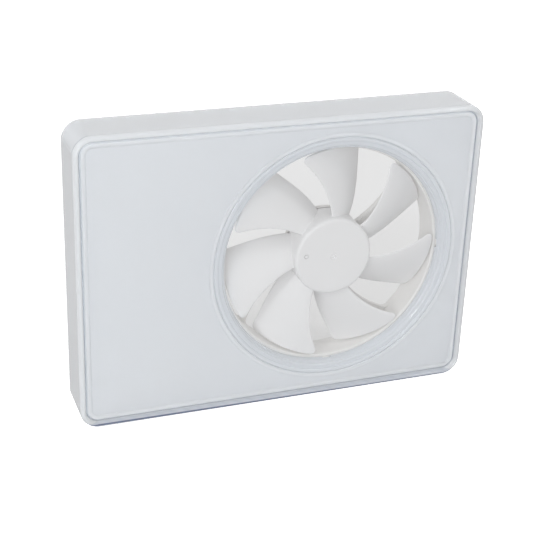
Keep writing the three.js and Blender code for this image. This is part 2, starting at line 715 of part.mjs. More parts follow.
// A strut's section at one radius: a flat bar with bevelled corners.
function strutSection(radius, strut, width, rear, front) {
  const centre = polar(radius, strutAngle(radius, strut), 0);
  const ahead = polar(radius + 1, strutAngle(radius + 1, strut), 0);
  const along = ahead.sub(centre).normalize();
  const across = new THREE.Vector3(-along.z, 0, along.x);
  const side = width / 2;
  const bevel = Math.min(side, (front - rear) / 2) / 2;
  const corners = [
    [side, rear + bevel],
    [side, front - bevel],
    [side - bevel, front],
    [bevel - side, front],
    [-side, front - bevel],
    [-side, rear + bevel],
    [bevel - side, rear],
    [side - bevel, rear],
  ];
  return corners.map(([offset, height]) => {
    const point = centre.clone().addScaledVector(across, offset);
    point.y = -height;
    return point;
  });
}

// A bar along a strut's centre line, with a section at each radius.
function strutRun(strut, radii, widthAt, rear, front) {
  return loft(radii.map((radius) => strutSection(radius, strut, widthAt(radius), rear, front)));
}

// The bars from the motor cup to the middle of the duct ring's wall.
function struts() {
  const start = CUP_R - ROOT;
  const filletStart = DUCT_R - STRUT_FILLET;
  const front = STRUT_REAR + STRUT_DEPTH;
  const end = DUCT_R + DUCT_WALL / 2;
  const radii = [0, 0.25, 0.5, 0.75, 1].map((share) => start + (filletStart - start) * share);
  radii.push(DUCT_R - STRUT_FILLET / 2, DUCT_R - STRUT_FILLET / 6, DUCT_R, end + STRUT_FILLET);
  const outside = tube(end, end + 4 * STRUT_FILLET, 0, front + OVERCUT, 0, 0, RING_SIDES);
  const bars = [];
  for (let strut = 0; strut < STRUT_COUNT; strut += 1) {
    bars.push(cut(strutRun(strut, radii, strutWidth, STRUT_REAR, front), outside));
  }
  return bars;
}

// The channel for the motor's lead, open at the back of the second strut.
function leadChannel() {
  const start = MOTOR_BOARD_R - OVERCUT;
  const end = DUCT_OUTER + OVERCUT;
  const radii = [0, 0.2, 0.4, 0.6, 0.8, 1].map((share) => start + (end - start) * share);
  return strutRun(1, radii, () => CHANNEL_WIDTH, CUP_REAR - OVERCUT, STRUT_REAR + CHANNEL_DEPTH);
}

// Four screw lugs that carry the frame on the base's bosses.
function frameLugs() {
  const start = DUCT_R + DUCT_WALL / 2;
  const rear = LUG_HEIGHT + GAP;
  const front = rear + LUG_THICKNESS;
  const ribLength = LUG_REACH - LUG_R - start;
  const arm = new THREE.Shape();
  arm.moveTo(start, -LUG_R);
  arm.lineTo(LUG_REACH, -LUG_R);
  arm.absarc(LUG_REACH, 0, LUG_R, -Math.PI / 2, Math.PI / 2, false);
  arm.lineTo(start, LUG_R);
  const lug = cut(
    join(
      plate(arm, rear, front),
      block(ribLength, RIB_WALL, rear, front + LUG_THICKNESS, start + ribLength / 2, 0),
    ),
    disc(SCREW_R + GAP, 0, COVER_DEPTH, LUG_REACH, 0),
  );
  return lugDegrees.map((degrees) => turned(lug, degrees));
}

// The duct ring, with its mouth rounded towards the room and a flange round it.
function ductRing() {
  const lip = DUCT_R + DUCT_WALL * 0.7;
  const flangeR = DUCT_OUTER + FLANGE_REACH;
  return revolve([
    [DUCT_R, DUCT_REAR],
    [DUCT_OUTER, DUCT_REAR],
    [DUCT_OUTER, DUCT_FRONT - FLANGE_THICKNESS],
    [flangeR, DUCT_FRONT - FLANGE_THICKNESS],
    [flangeR, DUCT_FRONT],
    [lip, DUCT_FRONT],
    ...round([lip, DUCT_FRONT], [DUCT_R, DUCT_FRONT - DUCT_MOUTH_FLARE], false),
    [DUCT_R, DUCT_REAR],
  ], RING_SIDES);
}

// The cup behind the hub, with the tube that holds the bearings and carries the stator.
function motorCup() {
  const bore = BEARING_R + RUNNING_FIT;
  const inside = CUP_R - CUP_RIM_WALL;
  const seatR = TUBE_R + 2 * GAP;
  return revolve([
    [0, CUP_REAR],
    [CUP_R, CUP_REAR],
    [CUP_R, CUP_FRONT],
    [inside, CUP_FRONT],
    [inside, CUP_FLOOR_TOP],
    [STATOR_RING_R, CUP_FLOOR_TOP],
    [STATOR_RING_R, CUP_FLOOR_TOP + GAP],
    [seatR, CUP_FLOOR_TOP + GAP],
    [TUBE_R, CUP_FLOOR_TOP + GAP],
    [TUBE_R, TUBE_FRONT],
    [bore, TUBE_FRONT],
    [bore, CUP_FLOOR_TOP],
    [0, CUP_FLOOR_TOP],
  ], HUB_SIDES);
}

function fanFrame() {
  const nibs = collarBlocks(
    DUCT_R + DUCT_WALL / 2, COLLAR_R + COLLAR_WALL - GAP,
    NOTCH_WIDTH - 2 * NOTCH_PLAY, DUCT_FRONT - NOTCH_DEPTH, COLLAR_REAR + NOTCH_DEPTH - NOTCH_PLAY,
  );
  return cut(join(ductRing(), motorCup(), ...struts(), ...nibs, ...frameLugs()), leadChannel());
}

add(base, 'fan_frame', fanFrame(), 'warmWhite');
const lugFront = LUG_HEIGHT + GAP + LUG_THICKNESS;
lugPlaces.forEach((place, i) => addScrew(`frame_screw_${i + 1}`, place, lugFront, FRAME_SCREW));

// ---------------------------------------------------------------- impeller

// A blade section wrapped round its radius: cambered, thickest near the leading edge.
// Near the tip the leading end is cut back along a circle, which rounds the corner.
function bladeSection(radius) {
  const share = (radius - HUB_R) / (BLADE_TIP_R - HUB_R);
  const bent = share * share;
  const lead = BLADE_LEAD_DEG + BLADE_LEAD_SWEEP_DEG * (0.84 * share + 0.16 * bent);
  const trail = BLADE_TRAIL_DEG + BLADE_TRAIL_SWEEP_DEG * (1.55 * share - 0.55 * bent);
  const leadHeight = BLADE_LEAD_HUB + (BLADE_LEAD_TIP - BLADE_LEAD_HUB) * share;
  const rise = leadHeight - BLADE_TRAIL;
  const chord = radians(lead - trail) * radius;
  const pitch = Math.atan2(rise, chord);
  const intoCorner = Math.max(0, radius - (BLADE_TIP_R - TIP_CORNER));
  const cutBack = TIP_CORNER - Math.sqrt(Math.max(0, TIP_CORNER ** 2 - intoCorner ** 2));
  const start = cutBack / chord;
  const front = [];
  const back = [];
  for (let i = 0; i <= BLADE_STEPS; i += 1) {
    const along = start + (1 - start) * (i / BLADE_STEPS);
    const bow = BLADE_CAMBER * 4 * along * (1 - along);
    const belly = Math.sin(Math.PI * (0.15 + 0.8 * along));
    const half = (BLADE_WALL / 2) * (BLADE_EDGE + (1 - BLADE_EDGE) * belly);
    for (const [face, off] of [[front, bow + half], [back, bow - half]]) {
      const forward = (1 - along) * chord - off * Math.sin(pitch);
      const degrees = trail + (forward / radius) * (180 / Math.PI);
      face.push(polar(radius, degrees, leadHeight - rise * along + off * Math.cos(pitch)));
    }
  }
  return [...front, ...back.reverse()];
}

// One blade, from inside the hub's wall to the tip, turned to its place.
function blade(index) {
  const cornerStart = BLADE_TIP_R - TIP_CORNER;
  const root = HUB_R - HUB_WALL / 2;
  const sections = [];
  for (const share of [0, 0.2, 0.45, 0.7, 1]) {
    sections.push(bladeSection(root + (cornerStart - root) * share));
  }
  for (const share of [0.5, 0.8, 0.97]) {
    sections.push(bladeSection(cornerStart + TIP_CORNER * share));
  }
  return turned(loft(sections), (360 * index) / BLADE_COUNT);
}

function impeller() {
  const inside = HUB_R - HUB_WALL;
  const shoulder = [HUB_R - HUB_SHOULDER, HUB_FRONT];
  const socket = BUSH_R + GAP;
  const bossRear = HUB_CEILING - BUSH_LENGTH;
  const hub = revolve([
    [0, HUB_FRONT],
    shoulder,
    ...round(shoulder, [HUB_R, HUB_FRONT - HUB_SHOULDER], false),
    [HUB_R, HUB_REAR],
    [inside, HUB_REAR],
    [inside, HUB_CEILING],
    [HUB_BOSS_R, HUB_CEILING],
    [HUB_BOSS_R, bossRear],
    [socket, bossRear],
    [socket, HUB_CEILING],
    [0, HUB_CEILING],
  ], HUB_SIDES);
  const blades = [];
  for (let index = 0; index < BLADE_COUNT; index += 1) blades.push(blade(index));
  const markRear = HUB_FRONT - MARK_DEPTH;
  const markFront = HUB_FRONT + OVERCUT;
  const pin = polar(PIN_MARK_REACH, PIN_MARK_DEG, 0);
  const marks = [
    tube(GATE_MARK_R - MARK_DEPTH, GATE_MARK_R + MARK_DEPTH, markRear, markFront),
    disc(PIN_MARK_R, markRear, markFront, pin.x, pin.z),
  ];
  return cut(join(hub, ...blades), ...marks);
}

add(rotor, 'impeller', impeller(), 'warmWhite');

// ---------------------------------------------------------------- rotor of the motor

const rotorFront = HUB_CEILING - GAP;
const shaftRear = CUP_FLOOR_TOP + GAP;
const clipRear = shaftRear + CLIP_THICKNESS;

// The steel cup inside the hub, open round the hub's boss.
function rotorYoke() {
  const rear = HUB_REAR + YOKE_RECESS;
  const inside = YOKE_R - YOKE_WALL;
  const hole = HUB_BOSS_R + GAP;
  return revolve([
    [YOKE_R, rear],
    [YOKE_R, rotorFront],
    [hole, rotorFront],
    [hole, rotorFront - YOKE_WALL],
    [inside, rotorFront - YOKE_WALL],
    [inside, rear],
    [YOKE_R, rear],
  ], HUB_SIDES);
}

function magnetRing() {
  const rear = HUB_REAR + 2 * YOKE_RECESS;
  return tube(MAGNET_R - MAGNET_WALL, MAGNET_R, rear, rear + MAGNET_LENGTH, 0, 0, HUB_SIDES);
}

function shaft() {
  const neck = SHAFT_R - CLIP_GROOVE;
  const grooveRear = clipRear - GAP / 2;
  const grooveFront = clipRear + CLIP_THICKNESS + GAP / 2;
  return revolve([
    [0, shaftRear],
    [SHAFT_R, shaftRear],
    [SHAFT_R, grooveRear],
    [neck, grooveRear],
    [neck, grooveFront],
    [SHAFT_R, grooveFront],
    [SHAFT_R, rotorFront - GAP],
    [SHAFT_R - GAP, rotorFront],
    [0, rotorFront],
  ], SMALL_SIDES);
}

// An open spring clip in the shaft's groove, which keeps the shaft in its bearings.
function shaftClip() {
  const inner = SHAFT_R - CLIP_GROOVE + RUNNING_FIT;
  const outer = SHAFT_R + CLIP_WALL;
  const ring = tube(inner, outer, clipRear, clipRear + CLIP_THICKNESS);
  return cut(ring, block(outer + OVERCUT, SHAFT_R, 0, COVER_DEPTH, (outer + OVERCUT) / 2, 0));
}

add(rotor, 'rotor_yoke', rotorYoke(), 'steel');
add(rotor, 'magnet_ring', magnetRing(), 'ferrite');
add(rotor, 'shaft', shaft(), 'steel');
const bushRear = HUB_CEILING - BUSH_LENGTH;
add(rotor, 'hub_bush', tube(SHAFT_R + RUNNING_FIT, BUSH_R, bushRear, rotorFront), 'brass');
add(rotor, 'shaft_clip', shaftClip(), 'steel');

// ---------------------------------------------------------------- bearings and stator

// A shielded ball bearing: two rings with a recessed shield between them.
function bearing() {
  const inner = SHAFT_R + RUNNING_FIT;
  const shieldInner = inner + BEARING_LIP;
  const shieldOuter = BEARING_R - BEARING_LIP;
  return revolve([
    [inner, 0],
    [shieldInner, 0],
    [shieldInner, GAP],
    [shieldOuter, GAP],
    [shieldOuter, 0],
    [BEARING_R, 0],
    [BEARING_R, BEARING_WIDTH],
    [shieldOuter, BEARING_WIDTH],
    [shieldOuter, BEARING_WIDTH - GAP],
    [shieldInner, BEARING_WIDTH - GAP],
    [shieldInner, BEARING_WIDTH],
    [inner, BEARING_WIDTH],
    [inner, 0],
  ], SMALL_SIDES);
}

const rearBearing = clipRear + 2 * CLIP_THICKNESS;
const frontBearing = TUBE_FRONT - BEARING_WIDTH - GAP;
add(base, 'bearing_rear', bearing(), 'steel').position.y = -rearBearing;
add(base, 'bearing_front', bearing(), 'steel').position.y = -frontBearing;

// A ring with a stem for each tooth, between two heights.
function toothStar(reach, width, rear, front) {
  const stems = [];
  for (let tooth = 0; tooth < TOOTH_COUNT; tooth += 1) {
    const from = STATOR_RING_R - ROOT;
    const stem = block(reach - from, width, rear, front, (reach + from) / 2, 0);
    stems.push(turned(stem, (360 * tooth) / TOOTH_COUNT));
  }
  return join(tube(STATOR_BORE, STATOR_RING_R, rear, front, 0, 0, HUB_SIDES / 2), ...stems);
}

// The laminated core, its teeth ending in curved shoes close to the magnet.
function statorCore() {
  const half = (Math.PI / TOOTH_COUNT) * SHOE_SHARE;
  const shoe = new THREE.Shape();
  shoe.absarc(0, 0, STATOR_R, -half, half, false);
  shoe.absarc(0, 0, STATOR_R - TOOTH_SHOE, half, -half, true);
  const one = plate(shoe, STATOR_REAR, STATOR_FRONT, 4);
  const shoes = [];
  for (let tooth = 0; tooth < TOOTH_COUNT; tooth += 1) {
    shoes.push(turned(one, (360 * tooth) / TOOTH_COUNT));
  }
  const reach = STATOR_R - TOOTH_SHOE / 2;
  return join(toothStar(reach, TOOTH_WIDTH, STATOR_REAR, STATOR_FRONT), ...shoes);
}

// One coil wound round the first tooth, between the ring and the shoe.
function coil() {
  const hole = TOOTH_WIDTH + 2 * GAP;
  const width = hole + 2 * COIL_WALL;
  const rear = STATOR_REAR - INSULATOR - 2 * GAP;
  const front = STATOR_FRONT + INSULATOR + 2 * GAP;
  const inner = STATOR_RING_R + GAP;
  const outer = Math.sqrt((STATOR_R - TOOTH_SHOE - GAP) ** 2 - (width / 2) ** 2);
  const middle = (inner + outer) / 2;
  return cut(
    block(outer - inner, width, rear - COIL_WALL, front + COIL_WALL, middle, 0),
    block(outer - inner + OVERCUT, hole, rear, front, middle, 0),
  );
}

add(base, 'stator_core', statorCore(), 'steel');
const insulatorReach = STATOR_R - TOOTH_SHOE;
const rearFace = STATOR_REAR - GAP;
const frontFace = STATOR_FRONT + GAP;
const rearInsulator = toothStar(insulatorReach, TOOTH_WIDTH, rearFace - INSULATOR, rearFace);
const frontInsulator = toothStar(insulatorReach, TOOTH_WIDTH, frontFace, frontFace + INSULATOR);
add(base, 'insulator_rear', rearInsulator, 'white');
add(base, 'insulator_front', frontInsulator, 'white');
for (let tooth = 0; tooth < TOOTH_COUNT; tooth += 1) {
  add(base, `coil_${tooth + 1}`, coil(), 'copper').rotation.y = (-FULL_TURN * tooth) / TOOTH_COUNT;
}

const motorBoardRear = CUP_FLOOR_TOP + 2 * GAP;
const motorBoardFront = motorBoardRear + MOTOR_BOARD;
const motorBoard = tube(STATOR_BORE, MOTOR_BOARD_R, motorBoardRear, motorBoardFront, 0, 0, HUB_SIDES);
add(base, 'motor_board', motorBoard, 'board');

// ---------------------------------------------------------------- control board

function controlBoard() {
  const sheet = new THREE.Shape();
  const high = BOARD_LOW + BOARD_LENGTH;
  sheet.moveTo(BOARD_LEFT, BOARD_LOW + BOARD_CHAMFER);
  sheet.lineTo(BOARD_LEFT + BOARD_CHAMFER, BOARD_LOW);
  sheet.lineTo(BOARD_RIGHT, BOARD_LOW);
  sheet.lineTo(BOARD_RIGHT, high);
  sheet.lineTo(BOARD_LEFT, high);
  const holes = boardScrews.map(([x, z]) => disc(SCREW_R + GAP, 0, COVER_DEPTH, x, z));
  return cut(plate(sheet, BOARD_HEIGHT, BOARD_TOP), ...holes);
}

// A screw terminal strip: one wire mouth and one screw well for each wire.
function terminalBlock() {
  const pitch = TERMINAL_LENGTH / TERMINAL_WAYS;
  const mouth = TERMINAL_MOUTH / 2;
  const wellFloor = TERMINAL_HEIGHT - TERMINAL_MOUTH / 2;
  const ways = [];
  for (let way = 0; way < TERMINAL_WAYS; way += 1) {
    const z = pitch * (way + 0.5) - TERMINAL_LENGTH / 2;
    ways.push(
      block(TERMINAL_WIDTH, TERMINAL_MOUTH, mouth, mouth + TERMINAL_MOUTH, -TERMINAL_WIDTH / 2, z),
      disc(TERMINAL_WELL_R, wellFloor, TERMINAL_HEIGHT + OVERCUT, TERMINAL_WELL_R, z),
    );
  }
  return cut(block(TERMINAL_WIDTH, TERMINAL_LENGTH, 0, TERMINAL_HEIGHT), ...ways);
}

add(base, 'control_board', controlBoard(), 'board');
boardScrews.forEach((place, i) => addScrew(`board_screw_${i + 1}`, place, BOARD_TOP, BOARD_SCREW));

// Stands a part on the board, at a share of its width and length from its centre.
function addOnBoard(name, body, finish, right, up) {
  const x = BOARD_X + right * BOARD_WIDTH;
  const z = BOARD_RAISE + up * BOARD_LENGTH;
  add(base, name, body, finish).position.set(x, -ON_BOARD, z);
}

// A block whose width and length are shares of the board's.
const boardBlock = (wide, long, height) => (
  block(wide * BOARD_WIDTH, long * BOARD_LENGTH, 0, height)
);

const canister = (wide, height) => disc((wide * BOARD_WIDTH) / 2, 0, height);

const terminals = add(base, 'terminal_block', terminalBlock(), 'grey');
terminals.position.x = BOARD_LEFT + GAP + TERMINAL_WIDTH / 2;
terminals.position.y = -ON_BOARD;
terminals.position.z = TERMINAL_TOP - TERMINAL_LENGTH / 2;
const transformer = boardBlock(TRANSFORMER_WIDE, TRANSFORMER_LONG, TRANSFORMER_HEIGHT);
addOnBoard('transformer', transformer, 'yellow', TRANSFORMER_RIGHT, TRANSFORMER_UP);
const capacitor = canister(CAPACITOR_WIDE, CAPACITOR_HEIGHT);
addOnBoard('capacitor_large', capacitor, 'black', CAPACITOR_RIGHT, CAPACITOR_UP);
const filter = canister(FILTER_WIDE, FILTER_HEIGHT);
addOnBoard('capacitor_small', filter, 'black', FILTER_RIGHT, FILTER_UP);
const varistor = boardBlock(VARISTOR_WIDE, VARISTOR_LONG, VARISTOR_HEIGHT);
addOnBoard('varistor', varistor, 'blue', VARISTOR_RIGHT, VARISTOR_UP);
const chip = boardBlock(CHIP_WIDE, CHIP_LONG, CHIP_HEIGHT);
addOnBoard('control_chip', chip, 'black', CHIP_RIGHT, CHIP_UP);
const plugX = BOARD_RIGHT - PLUG_EDGE - PLUG_WIDTH / 2;
const plugZ = BOARD_RAISE + PLUG_UP * BOARD_LENGTH;
const plug = add(base, 'motor_plug', block(PLUG_WIDTH, PLUG_LENGTH, 0, PLUG_HEIGHT), 'white');
plug.position.set(plugX, -ON_BOARD, plugZ);

// The motor's lead: along the channel behind a strut, then across the base to its plug.
function motorLead() {
  const inChannel = STRUT_REAR + LEAD_R + GAP;
  const onPlate = BASE_PLATE + LEAD_R + 2 * GAP;
  const edge = plugX + PLUG_WIDTH / 2 + 2 * GAP;
  const plugHeight = ON_BOARD + PLUG_HEIGHT / 2;
  const route = [];
  for (const radius of [MOTOR_BOARD_R, CUP_R + 6, (CUP_R + DUCT_R) / 2, DUCT_R - 6, DUCT_OUTER]) {
    route.push(polar(radius, strutAngle(radius, 1), inChannel));
  }
  route.push(polar(UPSTAND_R + 4, strutAngle(UPSTAND_R, 1), onPlate));
  route.push(new THREE.Vector3(edge + 10, -onPlate, plugZ + 12));
  route.push(new THREE.Vector3(edge + 5, -onPlate, plugZ + 3));
  route.push(new THREE.Vector3(edge + 2.6, -(plugHeight + onPlate) / 2, plugZ));
  route.push(new THREE.Vector3(edge, -plugHeight, plugZ));
  const path = new THREE.CatmullRomCurve3(route);
  const section = new THREE.Shape().absarc(0, 0, LEAD_R, 0, FULL_TURN, false);
  const options = { steps: 28, curveSegments: 3, bevelEnabled: false, extrudePath: path };
  return solid(new THREE.ExtrudeGeometry(section, options));
}

add(base, 'motor_lead', motorLead(), 'black');

// ---------------------------------------------------------------- terminal lid and cable entry

function terminalLid() {
  const rear = LID_HEIGHT + GAP;
  const sheet = block(
    LID_RIGHT - LID_LEFT, LID_TOP - LID_BOTTOM, rear, rear + LID_THICKNESS,
    (LID_LEFT + LID_RIGHT) / 2, (LID_TOP + LID_BOTTOM) / 2,
  );
  return cut(sheet, disc(SCREW_R + GAP, 0, COVER_DEPTH, ...lidScrew));
}

add(base, 'terminal_lid', terminalLid(), 'white');
addScrew('lid_screw', lidScrew, LID_HEIGHT + GAP + LID_THICKNESS, LONG_SCREW);

// The grommet that lines the cable hole, its flange inside the base.
function cableGrommet() {
  const neck = CABLE_HOLE_R - GAP;
  const seat = BASE_PLATE + GAP;
  const flangeR = CABLE_HOLE_R + GROMMET_FLANGE;
  return revolve([
    [CABLE_BORE_R, GAP],
    [neck, GAP],
    [neck, seat],
    [flangeR, seat],
    [flangeR, seat + GROMMET_FLANGE / 2],
    [CABLE_BORE_R, seat + GROMMET_FLANGE],
    [CABLE_BORE_R, GAP],
  ], SMALL_SIDES, CABLE_X, CABLE_Z);
}

// The bar that grips the supply cable, arched over it between two screws.
function cableClamp() {
  const rear = BOARD_HEIGHT + GAP;
  const front = rear + CLAMP_DEPTH;
  const length = CLAMP_SPAN + 2 * SCREW_HEAD_R + 2 * GAP;
  const bar = block(length, CLAMP_WIDTH, rear, front, CABLE_X, CLAMP_Z);
  const cable = new THREE.CylinderGeometry(CABLE_BORE_R, CABLE_BORE_R, 2 * CLAMP_WIDTH, SMALL_SIDES);
  cable.rotateX(Math.PI / 2);
  cable.translate(CABLE_X, CABLE_BORE_R - rear - CLAMP_GRIP, CLAMP_Z);
  const holes = clampScrews.map(([x, z]) => disc(SCREW_R + GAP, 0, COVER_DEPTH, x, z));
  return cut(bar, solid(cable), ...holes);
}

add(base, 'cable_grommet', cableGrommet(), 'rubber');
add(base, 'cable_clamp', cableClamp(), 'white');
const clampFront = BOARD_HEIGHT + GAP + CLAMP_DEPTH;
clampScrews.forEach((place, i) => addScrew(`clamp_screw_${i + 1}`, place, clampFront, LONG_SCREW));

export default group;
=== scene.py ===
"""A flat wall extract fan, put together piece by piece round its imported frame.

X is to the right seen from the room, Y goes into the wall and Z is up, with the duct axis on Y
and the wall plane at Y = 0. Sizes in the sections are in millimetres, and heights are measured
from the wall plane into the room, along -Y, as they are on a bench drawing of the fan.
"""

import bpy
import numpy as np
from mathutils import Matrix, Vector


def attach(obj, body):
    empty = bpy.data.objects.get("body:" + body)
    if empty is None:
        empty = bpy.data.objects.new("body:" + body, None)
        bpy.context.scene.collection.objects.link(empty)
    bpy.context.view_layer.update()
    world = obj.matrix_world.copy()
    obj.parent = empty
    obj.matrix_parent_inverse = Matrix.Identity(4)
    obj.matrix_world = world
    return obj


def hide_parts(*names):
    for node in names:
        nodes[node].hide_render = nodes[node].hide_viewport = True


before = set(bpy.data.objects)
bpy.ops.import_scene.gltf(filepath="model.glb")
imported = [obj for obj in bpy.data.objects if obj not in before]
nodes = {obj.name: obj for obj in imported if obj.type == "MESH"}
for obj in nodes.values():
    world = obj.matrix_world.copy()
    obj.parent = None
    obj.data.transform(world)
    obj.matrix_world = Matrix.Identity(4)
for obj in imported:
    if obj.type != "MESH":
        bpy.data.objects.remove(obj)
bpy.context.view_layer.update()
scene = bpy.context.scene
scene.view_settings.view_transform = "Standard"


# ------------------------------------------------------------------ the camera
# It stands in the room, above the fan and to its left, and looks down at it with a long
# lens. Its place and angles were fitted to the straight edges of the cover.

CAMERA_PLACE = (-0.2496, -0.5866, 0.2734)
CAMERA_TURN = (1.14025, -0.033106, -0.347863)
LENS, SENSOR, NEAR = 85.2, 36.0, 0.05

camera_data = bpy.data.cameras.new("camera")
camera_data.lens = LENS
camera_data.sensor_width = SENSOR
camera_data.clip_start = NEAR
camera = bpy.data.objects.new("camera", camera_data)
camera.location = CAMERA_PLACE
camera.rotation_euler = CAMERA_TURN
scene.collection.objects.link(camera)
scene.camera = camera


# ------------------------------------------------------------------ the studio
# A pale floor under an even sky, both white to the camera, with painted shadow behind the duct.
# A broad lamp stands in front, one at the left fills the duct, and two small ones at the
# sides draw the gloss on the clear beads.

MM = 0.001


class Wire:
    """A socket in a material's nodes. + - * and / on it add Math nodes."""

    def __init__(self, tree, socket=None):
        self.tree = tree
        self.socket = socket

    def node(self, kind, settings, sockets, out=0):
        """Adds a node: its settings come first, then a value or a wire for each socket."""
        made = self.tree.nodes.new("ShaderNode" + kind)
        for name, value in settings.items():
            if name == "stops":
                self.set_stops(made.color_ramp, value)
            else:
                setattr(made, name, value)
        for key, value in sockets.items():
            if isinstance(value, Wire):
                self.tree.links.new(value.socket, made.inputs[key])
            else:
                made.inputs[key].default_value = value
        return Wire(self.tree, made.outputs[out])

    @staticmethod
    def set_stops(ramp, stops):
        """Gives a colour ramp its stops, each a place and a grey level."""
        while len(ramp.elements) < len(stops):
            ramp.elements.new(0.5)
        for element, (place, level) in zip(ramp.elements, stops):
            element.position = place
            element.color = (level, level, level, 1)

    def maths(self, operation, first, second=0.0):
        return self.node("Math", {"operation": operation}, {0: first, 1: second})

    def __add__(self, other):
        return self.maths("ADD", self, other)

    def __sub__(self, other):
        return self.maths("SUBTRACT", self, other)

    def __mul__(self, other):
        return self.maths("MULTIPLY", self, other)

    def __truediv__(self, other):
        return self.maths("DIVIDE", self, other)

    def __radd__(self, other):
        return self.maths("ADD", other, self)

    def __rsub__(self, other):
        return self.maths("SUBTRACT", other, self)

    def __rmul__(self, other):
        return self.maths("MULTIPLY", other, self)

    def size(self):
        """This value without its sign."""
        return self.maths("ABSOLUTE", self)

    def between(self, low, high):
        """0 up to low and 1 from high, with a soft rise between them."""
        settings = {"interpolation_type": "SMOOTHSTEP"}
        return self.node("MapRange", settings, {0: self, 1: low, 2: high, 3: 0.0, 4: 1.0})

    def blend(self, low, high):
        """A colour that goes from low to high as this value goes from 0 to 1."""
        sockets = {0: self, 6: low, 7: high}
        return self.node("Mix", {"data_type": "RGBA"}, sockets, out=2)

    def steps(self, *stops):
        """This value through a ramp of (place, level) stops."""
        return self.node("ValToRGB", {"stops": stops}, {0: self})


def new_tree(owner):
    """Clears the nodes of a material or world and returns a bare wire and its output node."""
    owner.use_nodes = True
    tree = owner.node_tree
    tree.nodes.clear()
    end = "OutputWorld" if isinstance(owner, bpy.types.World) else "OutputMaterial"
    return Wire(tree), tree.nodes.new("ShaderNode" + end)


def ray(start, kind):
    """1 for one kind of ray, 0 for the others."""
    return start.node("LightPath", {}, {}, out=kind)


def seen_by_eye_or_glass(start):
    """1 for rays from the camera and for those a shiny or clear surface sends on."""
    whole = ray(start, "Is Camera Ray") + ray(start, "Is Glossy Ray")
    whole = whole + ray(start, "Is Transmission Ray")
    return whole.maths("MINIMUM", whole, 1.0)


def object_coords(start):
    """A piece's own coordinates, in metres."""
    return start.node("TexCoord", {}, {}, out="Object")


def coordinate(start, axis):
    """One of the piece's own coordinates, in millimetres."""
    return start.node("SeparateXYZ", {}, {0: object_coords(start)}, out=axis) / MM


WHITE = (1, 1, 1, 1)
SKY_LEVEL = 0.63

sky = bpy.data.worlds.new("sky")
scene.world = sky
start, output = new_tree(sky)
strength = SKY_LEVEL + (1 - SKY_LEVEL) * seen_by_eye_or_glass(start)
light = start.node("Background", {}, {"Color": WHITE, "Strength": strength})
start.tree.links.new(light.socket, output.inputs["Surface"])

# The floor glows by FLOOR_LIFT to the camera and by FLOOR_SHINE in gloss and glass, and not
# onto matt pieces. A patch of painted shadow, which the camera sees through the duct, glows
# to it by SHADE_LIFT. Its right side slants by SHADE_SLANT to follow the line of sight.
FLOOR_Z = -79
FLOOR_REACH = 9000
FLOOR_GREY, FLOOR_ROUGHNESS = 0.80, 0.5
FLOOR_LIFT, FLOOR_SHINE = 0.80, 0.25
SHADE_LIFT = 0.22
SHADE_LEFT, SHADE_RIGHT, SHADE_SLANT, SHADE_EDGE = -40, 60, 0.6, 24
SHADE_FROM, SHADE_TO = (-12, 6), (400, 480)

corner_signs = np.array([(-1, -1), (1, -1), (1, 1), (-1, 1)])
floor_points = np.column_stack([corner_signs * FLOOR_REACH, np.full(4, FLOOR_Z)]) * MM
floor_mesh = bpy.data.meshes.new("floor")
floor_mesh.from_pydata(floor_points.tolist(), [], [(0, 1, 2, 3)])
floor = bpy.data.objects.new("floor", floor_mesh)
scene.collection.objects.link(floor)
floor_finish = bpy.data.materials.new("floor_paper")
start, output = new_tree(floor_finish)
paper_colour = (FLOOR_GREY, FLOOR_GREY, FLOOR_GREY, 1)
paper = start.node("BsdfDiffuse", {}, {"Color": paper_colour, "Roughness": FLOOR_ROUGHNESS})
behind, aside = coordinate(start, "Y"), coordinate(start, "X")
past = (aside - SHADE_RIGHT - SHADE_SLANT * behind).between(0.0, SHADE_EDGE)
shade = (1 - past) * aside.between(SHADE_LEFT, SHADE_LEFT + SHADE_EDGE)
shade = shade * behind.between(*SHADE_FROM)
shade = shade * (1 - behind.between(*SHADE_TO))
to_camera = ray(start, "Is Camera Ray")
glow = (FLOOR_LIFT - (FLOOR_LIFT - SHADE_LIFT) * shade) * to_camera
glow = glow + FLOOR_SHINE * (seen_by_eye_or_glass(start) - to_camera)
lift = start.node("Emission", {}, {"Color": WHITE, "Strength": glow})
whole = start.node("AddShader", {}, {0: paper, 1: lift})
start.tree.links.new(whole.socket, output.inputs["Surface"])
floor_mesh.materials.append(floor_finish)


LAMP_COLOUR = (0.965, 0.985, 1.0)


def lamp(name, place, size, power):
    """A square area lamp at a place in metres, which faces the fan. Its power is in watts."""
    data = bpy.data.lights.new(name, "AREA")
    data.size = size
    data.energy = power
    data.color = LAMP_COLOUR
    made = bpy.data.objects.new(name, data)
    made.location = place
    made.rotation_euler = Vector(place).to_track_quat("Z", "Y").to_euler()
    scene.collection.objects.link(made)


lamp("key", (-0.5, -1.6, 0.5), 1.1, 1.4)
lamp("left_low", (-0.9, -1.15, 0.22), 0.5, 3.3)
lamp("spark_left", (-1.5, -1.15, 1.0), 0.25, 4.0)
lamp("spark_right", (1.0, -0.8, 1.7), 0.2, 2.2)


# ------------------------------------------------------------------ front cover
# A shallow tray injection-moulded in clear glossy plastic, 2 mm thick, that pushes over the
# base and is held by its skirt. A bead, a groove and a low second bead frame the flat panel,
# and two low beads and a flared collar lead into the duct.

